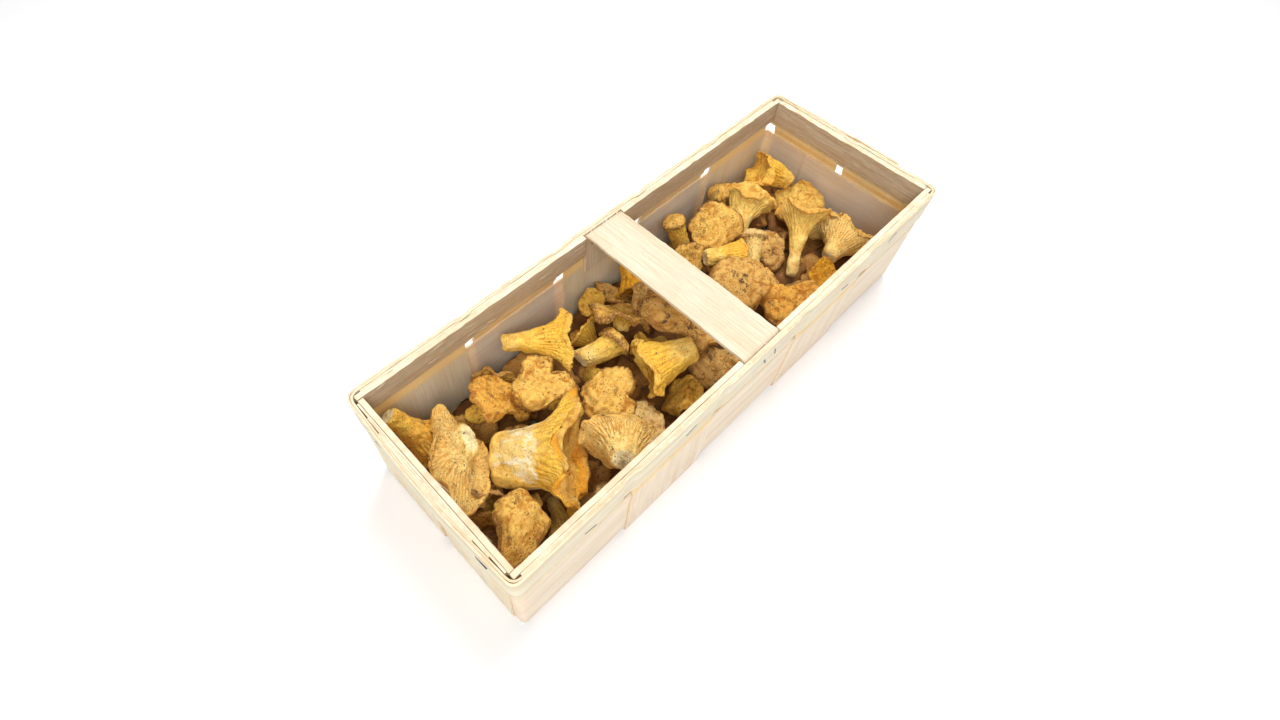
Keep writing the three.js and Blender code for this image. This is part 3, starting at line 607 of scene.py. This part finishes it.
tan_skin = flesh("tan_skin", TAN, YELLOW, CREAM, BROWN, bruise=0.95)
pale_skin = flesh("pale_skin", (0.90, 0.62, 0.26), (0.90, 0.64, 0.22), CREAM, BROWN, dirt=0.5,
                  bruise=0.8)
orange_skin = flesh("orange_skin", ORANGE, (0.88, 0.52, 0.09), YELLOW, BROWN)
yellow_skin = flesh("yellow_skin", (0.95, 0.57, 0.12), (0.97, 0.60, 0.09), (0.97, 0.67, 0.20),
                    ORANGE, furrow=(0.58, 0.22, 0.02), dirt=0.2, specks=0.6)
egg_skin = flesh("egg_skin", (0.76, 0.38, 0.04), (0.80, 0.40, 0.03), (0.72, 0.40, 0.05), BROWN,
                 dirt=0.5, specks=1.0)
brown_skin = flesh("brown_skin", (0.74, 0.43, 0.13), (0.72, 0.40, 0.08), (0.76, 0.48, 0.13),
                   BROWN, dirt=1.0, specks=1.0)
dusty_skin = flesh("dusty_skin", (0.70, 0.42, 0.14), (0.76, 0.46, 0.12), CREAM,
                   (0.34, 0.17, 0.08), dirt=0.9, specks=1.0)
# a dark skin that paints the shade deep in the pile
pile_shade_skin = flesh("pile_shade_skin", (0.33, 0.16, 0.035), (0.32, 0.15, 0.03), (0.33, 0.17, 0.04), BROWN,
                  dirt=1.0, specks=1.0)
gilled_skin = flesh("gilled_skin", (0.84, 0.53, 0.16), (0.95, 0.66, 0.24), (0.95, 0.70, 0.26),
                    ORANGE, furrow=(0.60, 0.28, 0.04), dirt=0.3)
cream_skin = flesh("cream_skin", (0.95, 0.60, 0.16), (0.96, 0.68, 0.20), (1.0, 0.78, 0.32),
                   (0.70, 0.32, 0.05), dirt=0.2, specks=0.4)
peeled_skin = flesh("peeled_skin", TAN, (0.96, 0.60, 0.09), (0.92, 0.61, 0.18),
                    (0.80, 0.34, 0.03), dirt=0.2, specks=0.6, peel=1.0, bruise=0.85)

# ---------------------------------------------------------------------------- chanterelle form
# A chanterelle grows from a cut foot up a tapering stem that flares into the cap. Blunt folds
# run down from the margin, and each forks once or twice on its way out.

# In cap radii: height, stem radius, how late the stem flares, hollow of the top, how far the
# margin turns down, waviness in plan and in height.
TRUMPET = dict(height=1.3, stem=0.36, flare=2.1, dish=0.34, droop=0, lobes=0.1, ruffle=0.1)
PLATE = dict(height=0.85, stem=0.3, flare=3.6, dish=0.14, droop=0.08, lobes=0.15, ruffle=0.1)
BUTTON = dict(height=1.7, stem=0.5, flare=5, dish=-0.3, droop=0.3, lobes=0.08, ruffle=0.04)
FAN = dict(height=1.2, stem=0.3, flare=1.7, dish=0.36, droop=0, lobes=0.1, ruffle=0.16,
           spread=0.3)
PLAIN = dict(spread=0, bend=0, flat=0, oval=0, notch=0, notchAt=0, notchWidth=0.35, roll=0,
             folds=1.0)
LIP = 0.13
FOLD_DEPTH = 0.055


def cap_wave(seed, lowest, highest, angle):
    """A seeded closed wave round the cap, about -1 to 1."""
    total = 0
    for k in range(lowest, highest + 1):
        strength = (0.4 + draw(seed, k)) / np.sqrt(k)
        total = total + strength * np.cos(k * angle + 2 * np.pi * draw(seed, k + 20))
    return total


def apart(angle, middle):
    """How far round the cap an angle is from a middle."""
    return np.abs(np.arctan2(np.sin(angle - middle), np.cos(angle - middle)))


def eased(value, low, high):
    t = np.clip((value - low) / (high - low), 0, 1)
    return t * t * (3 - 2 * t)


def lumps(places, size, seed):
    """Soft lumps of one size all through space, about -1 to 1."""
    cells = np.floor(places / size)
    part = eased(places / size - cells, 0, 1)
    total = 0
    for corner in np.ndindex(2, 2, 2):
        number = (cells + corner) @ (12.9898, 78.233, 37.719)
        height = 2 * draw(seed * 0.3177, number / 78.233) - 1
        total = total + np.prod(np.where(corner, part, 1 - part), axis=1) * height
    return total


def cap_section(form, radius, height, stem, lip):
    """The upright section from the top of the cap, over the margin and down to the foot.
    Columns: radius, height, share of the way up, top, and how closely the rings lie."""
    ring = np.linspace(0, 1, 30) * (radius - 0.45 * lip)
    top = height + lip - form["dish"] * radius * (1 - (ring / radius) ** 2)
    rows = [np.column_stack([ring, top, np.ones(30), np.ones(30), np.full(30, 0.55)])]
    start = 1 - 0.225 * lip / ((radius - stem) * form["flare"])
    turn = np.linspace(np.pi / 2, -np.pi / 3, 12)[1:]
    half = (top[-1] - height * start) / (1 + math.sin(math.pi / 3))
    rows.append(np.column_stack([
        radius - 0.45 * lip + 0.45 * lip * np.cos(turn), top[-1] - half + half * np.sin(turn),
        np.ones(11), eased(np.sin(turn), -0.3, 0.6), np.full(11, 1.6)]))
    share = np.linspace(start, 0, 90)[1:]
    foot = (0.9 + 0.1 * share) * (1 - 0.2 * np.exp(-share / 0.035))
    rows.append(np.column_stack([
        stem * foot + (radius - stem) * share ** form["flare"], height * share, share,
        np.zeros(89), np.full(89, 1.0)]))
    cut = np.linspace(rows[-1][-1, 0], 0, 8)[1:]
    rows.append(np.column_stack([cut, np.zeros(7), np.zeros(7), np.zeros(7), np.full(7, 0.8)]))
    return np.vstack(rows)


def fold_height(angle, spread, seed, count):
    """The blunt folds under a cap: 0 in a furrow, 1 on a crest. A crest forks as they spread."""
    sway = angle + 0.07 * cap_wave(seed + 3, 1, 4, angle) + 0.012 * np.sin(9 * spread + 7 * angle)
    late = 0.08 * cap_wave(seed + 11, 2, 7, angle)
    fork = eased(spread, 0.16 + late, 0.40 + late)
    late = 0.08 * cap_wave(seed + 13, 3, 9, angle)
    again = eased(spread, 0.50 + late, 0.72 + late)
    wave = np.cos(count * sway) * (1 - fork)
    wave = wave - np.cos(2 * count * sway) * fork * (1 - again)
    wave = wave - np.cos(4 * count * sway) * fork * again
    return (0.5 + 0.5 * wave) ** 0.85


def chanterelle(name, form, place, sides, rings, folds, keep=1.0):
    """One chanterelle with its middle at a place: a sphere drawn out over its section."""
    seed = form["seed"]
    radius = form["cap"] / 1000
    height, stem, lip = form["height"] * radius, form["stem"] * radius, LIP * radius
    bpy.ops.object.select_all(action="DESELECT")
    bpy.ops.mesh.primitive_uv_sphere_add(segments=sides, ring_count=rings, radius=1)
    piece = bpy.context.object
    piece.name = piece.data.name = name
    ball = points_of(piece)
    angle = np.arctan2(ball[:, 1], ball[:, 0])
    section = cap_section(form, radius, height, stem, lip)
    steps = np.hypot(*np.diff(section[:, :2], axis=0).T) * section[1:, 4]
    run = np.r_[0, np.cumsum(steps)] / steps.sum()
    down = np.arccos(np.clip(ball[:, 2], -1, 1)) / np.pi
    r, h, share, top = (np.interp(down, run, section[:, k]) for k in range(4))
    slope = np.array([np.interp(down, run, np.gradient(section[:, k])) for k in (0, 1)])
    slope /= np.maximum(np.hypot(*slope), 1e-12)
    capness = np.clip((r - stem) / (radius - stem), 0, 1)
    # folds, cut into the flesh along its normal
    crest = fold_height(angle, capness, seed, folds)
    reach = eased(capness, 0.02, 0.24) * (1 - top) * eased(-share, -0.995, -0.965)
    reach = np.where(r < 0.2 * radius, reach * eased(r, 0.05 * radius, 0.2 * radius), reach)
    sink = FOLD_DEPTH * radius * form["folds"] * (1 - crest) * reach
    r_cut, h_cut = r - slope[1] * -sink, h + slope[0] * -sink
    # the outline of the cap
    off_notch = apart(angle, form["notchAt"])
    grow = 1 + capness * (form["lobes"] * cap_wave(seed, 1, 4, angle)
                          + form["spread"] * np.cos(angle))
    grow = grow - capness * form["notch"] * np.exp(-((off_notch / form["notchWidth"]) ** 2))
    grow = grow + capness**2 * (0.045 * cap_wave(seed + 9, 3, 7, angle)
                                + 0.015 * cap_wave(seed + 5, 9, 24, angle))
    for tear in range(3):
        aside = apart(angle, 2 * np.pi * draw(seed, 50 + tear))
        grow = grow - capness**4 * 0.13 * draw(seed, 60 + tear) ** 2 * np.exp(
            -((aside / (0.03 + 0.08 * draw(seed, 70 + tear))) ** 2))
    x, y = r_cut * grow * np.cos(angle), r_cut * grow * np.sin(angle)
    z = h_cut + capness**2 * radius * form["ruffle"] * cap_wave(seed + 7, 2, 5, angle)
    z = z + capness**4 * radius * (0.045 * cap_wave(seed + 6, 6, 13, angle)
                                   + 0.016 * cap_wave(seed + 8, 14, 26, angle))
    z = z + capness * radius * 0.062 * cap_wave(seed + 31, 3, 8, angle + 1.5 * capness)
    z = z - radius * 0.08 * eased(capness, 0.72, 1.0) * (1 + cap_wave(seed + 33, 2, 6, angle))
    z = z - form["droop"] * radius * capness**3
    x = x * (1 + form["flat"] * (1 - capness)) * (1 - form["oval"] * capness)
    y = y * (1 - form["flat"] * (1 - capness)) * (1 + 0.4 * form["oval"] * capness)
    x = x + form["bend"] * height * (1 - np.minimum(h / height, 1)) ** 2
    turn = (Matrix.Rotation(math.radians(form["turn"]), 3, "Z")
            @ Matrix.Rotation(math.radians(form["lean"]), 3, "Y")
            @ Matrix.Rotation(math.radians(form["roll"]), 3, "Z"))
    upright = np.column_stack([x, y, z])
    points = upright @ np.array(turn).T
    points += np.array(place) - (points.min(0) + points.max(0)) / 2
    move_points(piece, points)
    # swellings, dents, puckers and creases, raised along the normals
    around = 9 * (0.3 + 0.7 * capness)
    fibre = np.column_stack([around * np.cos(angle), around * np.sin(angle), share + seed])
    swell = lumps(upright, 0.5 * radius, seed)
    dent = lumps(upright, 0.19 * radius, seed + 1)
    pucker = lumps(upright, 0.085 * radius, seed + 2)
    crease = np.exp(-((lumps(upright, 0.34 * radius, seed + 3) / 0.10) ** 2))
    crease = crease * eased(lumps(upright, 0.6 * radius, seed + 4), -0.3, 0.3)
    strand = lumps(fibre * (1, 1, 5), 1.1, seed + 5)
    smooth = 1 - 0.75 * reach * form["folds"]
    crease = crease * (0.25 + 0.75 * top)
    rise = smooth * (0.058 * swell + 0.036 * dent - 0.027 * crease)
    rise = rise + (0.4 + 0.6 * smooth) * (0.013 * pucker + 0.014 * strand)
    facing = np.empty(len(points) * 3)
    piece.data.update()
    piece.data.vertex_normals.foreach_get("vector", facing)
    points += facing.reshape(-1, 3) * (radius * rise)[:, None]
    move_points(piece, points)
    kinds = {"top": top, "along": share, "crest": np.where(reach > 0, 1 - (1 - crest) * reach, 1),
             "edge": eased(capness, 0.82, 1.0),
             "cut": eased(down, run[-8] - 0.002, run[-8] + 0.004),
             "relief": (0.4 + 0.6 * top) * (
                 smooth * (0.5 * dent + 0.7 * pucker - 1.0 * crease) + 0.5 * strand)}
    for key, values in kinds.items():
        piece.data.attributes.new(key, "FLOAT", "POINT").data.foreach_set("value", values)
    piece.data.attributes.new("fibre", "FLOAT_VECTOR", "POINT").data.foreach_set(
        "vector", fibre.ravel())
    if keep < 1:
        modified(piece, "DECIMATE", ratio=keep)
    piece.data.shade_smooth()
    piece.data.materials.append(form["skin"])
    return piece


# ---------------------------------------------------------------------------- chanterelles on top
# Each is one mushroom of its own, laid in the basket whole or cut. They are given as they lie,
# first the ones on the near side of the handle and then the far ones.


def as_grown(form, cap, turn, lean, seed, skin, **own):
    """How a mushroom grew and lies. cap is its radius in mm; turn is the way its stem points on
    to the cap in plan and lean how far it lies over from upright, in degrees; own is where it
    departs from its form."""
    return {**PLAIN, **form, **own, "cap": cap, "turn": turn, "lean": lean, "seed": seed,
            "skin": skin}


NEAR_PILE = (
    as_grown(TRUMPET, 33, -45, 76, 22, peeled_skin, stem=0.56, height=1.5, flare=3, oval=0.42,
             folds=0.22),
    as_grown(TRUMPET, 20, 157, 98, 16, yellow_skin, stem=0.5, height=1.75, oval=0.3, folds=0.4),
    as_grown(PLATE, 18.5, -137, 24, 19, tan_skin, notch=0.34, notchAt=1.62, notchWidth=0.2,
             dish=-0.16, droop=0.14, lobes=0.08),
    as_grown(TRUMPET, 19, -38, 92, 6, yellow_skin, height=2.3, stem=0.36, flare=2.6, oval=0.25,
             folds=0.5),
    as_grown(PLATE, 21, -134, 14, 5, tan_skin, notch=0.62, notchAt=2.6, notchWidth=0.22, dish=-0.14,
             lobes=0.14, height=0.8, oval=0.2),
    as_grown(TRUMPET, 20, -52, 145, 1, orange_skin, stem=0.36, height=2.1, flare=3.2, oval=0.15,
             folds=0.6),
    as_grown(PLATE, 29, 158, 142, 2, gilled_skin, flat=-0.35, stem=0.34, height=0.7, oval=0.4,
             ruffle=0.14),
    as_grown(PLATE, 19, -20, 35, 4, orange_skin, stem=0.36, height=1.2, lobes=0.2, bend=-0.5),
    as_grown(FAN, 24, 42, 125, 20, gilled_skin, oval=0.2, stem=0.4),
    as_grown(PLATE, 17, -137, 18, 18, pale_skin, dish=-0.15, droop=0.2),
    as_grown(PLATE, 20, 25, 41, 9, tan_skin, ruffle=0.2, height=0.6),
    as_grown(BUTTON, 11.5, 4, 80, 8, tan_skin, roll=90, bend=0.4, stem=0.72, height=2.3),
    as_grown(BUTTON, 18, -40, 30, 29, tan_skin, height=1.1, lobes=0.24, ruffle=0.2),
    as_grown(PLATE, 26, -60, 24, 14, brown_skin, lobes=0.24, ruffle=0.16, height=0.7),
    as_grown(PLATE, 14, 50, 98, 3, brown_skin, ruffle=0.2),
    as_grown(PLATE, 18, -137, 20, 23, dusty_skin, roll=90),
    as_grown(TRUMPET, 14, 100, 66, 7, yellow_skin, oval=0.2),
    as_grown(PLATE, 16, 120, 50, 17, yellow_skin, droop=0.2),
    as_grown(PLATE, 16, -100, 20, 10, dusty_skin, roll=40),
    as_grown(TRUMPET, 17, -110, 104, 11, egg_skin, oval=0.2),
    as_grown(TRUMPET, 11, -60, 130, 25, gilled_skin),
    as_grown(TRUMPET, 14, -172, 75, 31, yellow_skin, oval=0.2),
    as_grown(PLATE, 18, 150, 20, 15, dusty_skin),
    as_grown(TRUMPET, 11, -113, 78, 27, cream_skin, height=2.4),
    as_grown(BUTTON, 10, -60, 30, 28, pale_skin, height=1.2),
    as_grown(BUTTON, 12, -120, 30, 26, orange_skin, height=1.3),
    as_grown(PLATE, 10, 200, 30, 13, yellow_skin, ruffle=0.2),
)
FAR_PILE = (
    as_grown(FAN, 24, 6, 82, 52, gilled_skin, height=1.25, oval=0.3),
    as_grown(TRUMPET, 18, 33, 64, 50, cream_skin, height=2.9, stem=0.27, flare=3.6, ruffle=0.18,
             oval=0.15, folds=0.6),
    as_grown(TRUMPET, 21, 20, 70, 43, cream_skin, height=2, stem=0.42, flare=3, droop=0.2,
             dish=-0.05, oval=0.2, folds=0.4),
    as_grown(FAN, 18, 125, 64, 41, yellow_skin, roll=30, height=1.6, ruffle=0.24, stem=0.46,
             oval=0.2),
    as_grown(BUTTON, 8, 136, 20, 47, tan_skin, height=4.6, stem=0.9, droop=0),
    as_grown(PLATE, 20, -137, 34, 44, tan_skin, lobes=0.1, dish=-0.12, height=0.7),
    as_grown(PLATE, 23, -137, 18, 53, brown_skin, lobes=0.16, dish=-0.26, height=0.8),
    as_grown(PLATE, 22, -134, 20, 54, orange_skin, dish=-0.2, droop=0.14, oval=0.15, height=0.8),
    as_grown(PLATE, 18, 180, 24, 51, cream_skin, ruffle=0.16, height=0.8),
    as_grown(BUTTON, 9, 42, 60, 45, pale_skin, height=2.8, stem=0.7),
    as_grown(PLATE, 16, -100, 24, 49, dusty_skin, dish=-0.1),
    as_grown(TRUMPET, 12, -30, 94, 46, yellow_skin, stem=0.6, height=2.5),
    as_grown(BUTTON, 9, 140, 16, 42, tan_skin, height=3.8),
    as_grown(PLATE, 13, -137, 40, 48, tan_skin),
)
# cap radius from which a size holds, then sides, rings, folds at the stem, share of faces kept
SIZES = ((24, 336, 104, 21, 0.43), (18, 280, 90, 17, 0.41), (12, 200, 70, 12, 0.43),
         (0, 132, 54, 9, 0.5))
for count, form in enumerate(NEAR_PILE + FAR_PILE, 1):
    cad_name = f"chanterelle_{count:02d}"
    low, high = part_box(cad_name)
    fineness = next(size[1:] for size in SIZES if form["cap"] >= size[0])
    mushroom = chanterelle(f"fresh_{cad_name}", form, (low + high) / 2, *fineness)
    fit(mushroom, "mushroom_flesh", cad_name)

# ---------------------------------------------------------------------------- bottom layer
# Three beds of small chanterelles that have grown into each other cover the floor. Only
# glimpses of them show between the ones on top, and most are given a dark skin that paints the
# shade down there.
LIMIT_X = 0.1902
LIMIT_Y = 0.0642
BED_FLOOR = 0.0039
bed_skins = (pile_shade_skin, brown_skin, pile_shade_skin)
# small ones that fill the gaps above each bed: their look, and where the middle lies in mm
GAP_FILLERS = (
    ((as_grown(PLATE, 13, 40, 60, 130, dusty_skin), (-168, -5, 42)),
     (as_grown(PLATE, 14, -120, 28, 141, brown_skin), (-142, 36, 26)),
     (as_grown(TRUMPET, 12, -140, 80, 142, tan_skin), (-175, -16, 29)),
     (as_grown(TRUMPET, 12, -70, 100, 121, cream_skin), (-80, -46, 36))),
    ((as_grown(PLATE, 14, 10, 30, 112, brown_skin), (2, 52, 30)),
     (as_grown(PLATE, 15, -100, 24, 118, tan_skin), (37, -44, 31)),
     (as_grown(BUTTON, 10, 160, 70, 132, yellow_skin), (-58, 8, 34))),
    ((as_grown(PLATE, 14, -120, 30, 116, egg_skin), (128, -47, 32)),
     (as_grown(PLATE, 14, 60, 40, 104, dusty_skin), (134, 12, 26)),
     (as_grown(PLATE, 12, -40, 20, 115, tan_skin), (73, 10, 30))),
)


def joined(parts, name):
    for part in parts:
        part.select_set(True)
    bpy.context.view_layer.objects.active = parts[0]
    bpy.ops.object.join()
    piece = bpy.context.object
    piece.name = piece.data.name = name
    return piece


for bed in range(3):
    length = 2 * LIMIT_X / 3
    start = -LIMIT_X + bed * length
    members = []
    for column in range(3):
        for row in range(3):
            seed = 200 + bed * 20 + column * 3 + row
            cap = 28 + 3 * draw(seed, 1)
            tall = 15 / cap * (0.7 + 0.1 * draw(seed, 2))
            lean = 6 + 8 * draw(seed, 3)
            form = as_grown(TRUMPET, cap, 360 * draw(seed, 4), lean, seed,
                            bed_skins[(column + row) % 3], height=tall, dish=0.08, lobes=0.06,
                            ruffle=0.05)
            spot = (start + (column + 0.5) * length / 3,
                    -LIMIT_Y + (row + 0.5) * 2 * LIMIT_Y / 3, 0.014)
            member = chanterelle(f"bed_member_{bed}_{column}_{row}", form, spot, 60, 22, 10)
            points = points_of(member)
            points[:, 2] += BED_FLOOR - points[:, 2].min()
            points[:, 0] = np.clip(points[:, 0], start + 0.0003, start + length - 0.0003)
            points[:, 1] = np.clip(points[:, 1], -LIMIT_Y, LIMIT_Y)
            move_points(member, points)
            members.append(member)
    for count, (form, spot) in enumerate(GAP_FILLERS[bed]):
        spot = tuple(c / 1000 for c in spot)
        members.append(chanterelle(f"gap_filler_{bed}_{count}", form, spot, 120, 40, 9, 0.5))
    fit(joined(members, f"chanterelle_bed_{bed + 1}"), "mushroom_flesh",
        f"bottom_chanterelles_{bed + 1}")

# ---------------------------------------------------------------------------- staples
# Flattened wire staples hold the rim together. They are driven through the band, the strips
# and the lath from outside, and two more hold each folded end of the handle.
staple_wire, tree, shader = new_finish("staple_wire", {"Metallic": 1.0})
stain = mottle(tree, own_place(tree)[0], 900, 3)
tree.links.new(layered(tree, (0.10, 0.10, 0.11), (stain, 0.4, 0.65, (0.035, 0.032, 0.032))),
               shader.inputs["Base Color"])
tree.links.new(between(tree, stain, 0.3, 0.7, 0.3, 0.55), shader.inputs["Roughness"])
STAPLE_LENGTH = 0.0105
WIRE_WIDTH = 0.0014
WIRE_THICK = 0.0006


def staple(name, place, outward, tilt):
    """A staple lying on a wall: its crown shows and its ends are bent into the wood."""
    bpy.ops.object.select_all(action="DESELECT")
    bpy.ops.mesh.primitive_grid_add(x_subdivisions=12, y_subdivisions=2, size=1)
    crown = bpy.context.object
    crown.name = crown.data.name = name
    for point in crown.data.vertices:
        sunk = max(0.0, abs(point.co.x) - 0.42) / 0.08
        point.co = (point.co.x * STAPLE_LENGTH, point.co.y * WIRE_WIDTH, -0.0011 * sunk**2)
    modified(crown, "SOLIDIFY", thickness=WIRE_THICK)
    modified(crown, "BEVEL", width=0.00012)
    face = Vector(outward).to_track_quat("Z", "Y").to_matrix().to_4x4()
    lie = Matrix.Rotation(math.radians(tilt), 4, "Z")
    crown.data.transform(Matrix.Translation(Vector(place)) @ face @ lie)
    crown.data.materials.append(staple_wire)
    bpy.ops.object.shade_smooth_by_angle(angle=math.radians(40))
    return crown


OUTER_FACE = INNER_HALF_WIDTH + LAYER_OUTER + VENEER / 2 + 0.0001
LEG_FACE = leg_y - HANDLE_THICK / 2 - 0.0001
staples = []
for x, z, tilt in ((-146, 76, 14), (-66, 82, -18), (2, 81.5, 62), (12, 82.5, 70), (91, 77.5, 12),
                   (142, 88, -30)):
    for side in (-1, 1):
        staples.append(staple(
            f"side_staple_{len(staples)}", (x / 1000, side * OUTER_FACE, z / 1000), (0, side, 0),
            tilt * side))
for side in (-1, 1):
    for x, z, tilt in ((-10, 88, 75), (9, 79, 82)):
        staples.append(staple(f"handle_staple_{len(staples)}",
                              (x / 1000, side * LEG_FACE, z / 1000), (0, -side, 0), tilt))
for y, z, tilt in ((-48, 84, 8), (40, 82, -12)):
    staples.append(staple(f"end_staple_{len(staples)}",
                          (-INNER_HALF_LENGTH - LAYER_OUTER - 0.0022, y / 1000, z / 1000),
                          (-1, 0, 0), tilt))
fit(joined(staples, "wire_staples"), "staple_wire")

# ---------------------------------------------------------------------------- splinters
# Fine fibres of the wood itself, raised by the saw. They stand off the laths, the torn folds of
# the handle and the cut end of the band.


def repeated(name, count, skin):
    """Repeats the new primitive so many times. Gives the piece and the corners of one copy."""
    piece = bpy.context.object
    piece.name = piece.data.name = name
    one = points_of(piece)
    modified(piece, "ARRAY", count=count)
    piece.data.materials.append(skin)
    return piece, one


FIBRE = 0.00022
# foot, way it points, length and breadth of each fibre
fibres = []
# first draw, how many, half the run that they stand on, face of the lath, room left round the
# handle, and how much longer than 4 mm they grow
for first, total, reach, wall, room, longer in (
        (301, 56, 0.185, INNER_HALF_WIDTH, 0.022, 0.009),
        (321, 24, 0.060, INNER_HALF_LENGTH, 0, 0.008)):
    for count in range(total):
        side = -1 if draw(count, first) < 0.5 else 1
        run = -reach + 2 * reach * draw(count, first + 1)
        if abs(run) < room:
            continue
        foot = (run, side * (wall - 0.00005))
        heading = 1 if draw(count, first + 3) < 0.5 else -1
        way = (heading, -side * (0.04 + 0.10 * draw(count, first + 4)))
        if wall == INNER_HALF_LENGTH:
            foot, way = foot[::-1], way[::-1]
        fibres.append((
            (*foot, 0.079 + 0.0155 * draw(count, first + 2)),
            (*way, 0.16 * (draw(count, first + 5) - 0.5)),
            0.004 + longer * draw(count, first + 6), FIBRE))
for count in range(22):
    side = -1 if count % 2 else 1
    fibres.append((
        (-0.0155 + 0.031 * draw(count, 331), side * (leg_y + 0.0002), RIM_TOP - 0.0011),
        (0.5 * (draw(count, 332) - 0.5), side * (0.3 + draw(count, 333)), 0.12), 0.0022,
        1.3 * FIBRE))
for count in range(10):
    fibres.append((
        (BOW, LAP_END + 0.001, BAND_BOTTOM + 0.002 + 0.021 * draw(count, 341)),
        (0.02, -1, 0.1 * (draw(count, 342) - 0.5)), 0.003 + 0.004 * draw(count, 343),
        1.3 * FIBRE))
bpy.ops.object.select_all(action="DESELECT")
bpy.ops.mesh.primitive_cone_add(vertices=4, radius1=1, radius2=0.1, depth=1)
splinter_set, cone = repeated("wood_splinters", len(fibres), veneer_edge)
cone = cone + (0, 0, 0.5)
laid = []
for foot, along, length, breadth in fibres:
    lie = np.array(Vector(along).to_track_quat("Z", "Y").to_matrix())
    laid.append(cone * (breadth, 0.45 * breadth, length) @ lie.T + foot)
move_points(splinter_set, np.concatenate(laid))
fit(splinter_set, "sawn_lath")

# ---------------------------------------------------------------------------- crumbs
# Crumbs of forest earth and needle litter. They have fallen on the mushrooms and lie on what
# faces up.
earth, tree, shader = new_finish("earth", {"Roughness": 0.95})
stain = mottle(tree, own_place(tree)[0], 1300, 3)
tree.links.new(layered(tree, (0.07, 0.035, 0.016), (stain, 0.35, 0.65, (0.22, 0.11, 0.045))),
               shader.inputs["Base Color"])
bpy.context.view_layer.update()
shown = bpy.context.evaluated_depsgraph_get()
landed = []
for count in range(420):
    x = -0.186 + 0.372 * draw(count, 401)
    y = -0.061 + 0.122 * draw(count, 402)
    hit, place, facing, _, under, _ = bpy.context.scene.ray_cast(
        shown, Vector((x, y, 0.0755)), Vector((0, 0, -1)))
    if hit and under.name.startswith(("fresh", "chanterelle_bed")) and facing.z > 0.35:
        size = 0.00022 + 0.0005 * draw(count, 403) ** 3
        landed.append((np.array(place + facing * size * 0.25), size))
bpy.ops.object.select_all(action="DESELECT")
bpy.ops.mesh.primitive_ico_sphere_add(subdivisions=1, radius=1)
crumb_set, ball = repeated("earth_crumbs", len(landed), earth)
crumbs = [place + size * ball * (1.3, 0.9, 0.6)
          * (0.6 + 0.8 * draw(count, 404 + np.arange(len(ball))))[:, None]
          for count, (place, size) in enumerate(landed)]
move_points(crumb_set, np.concatenate(crumbs))
fit(crumb_set, "mushroom_flesh")
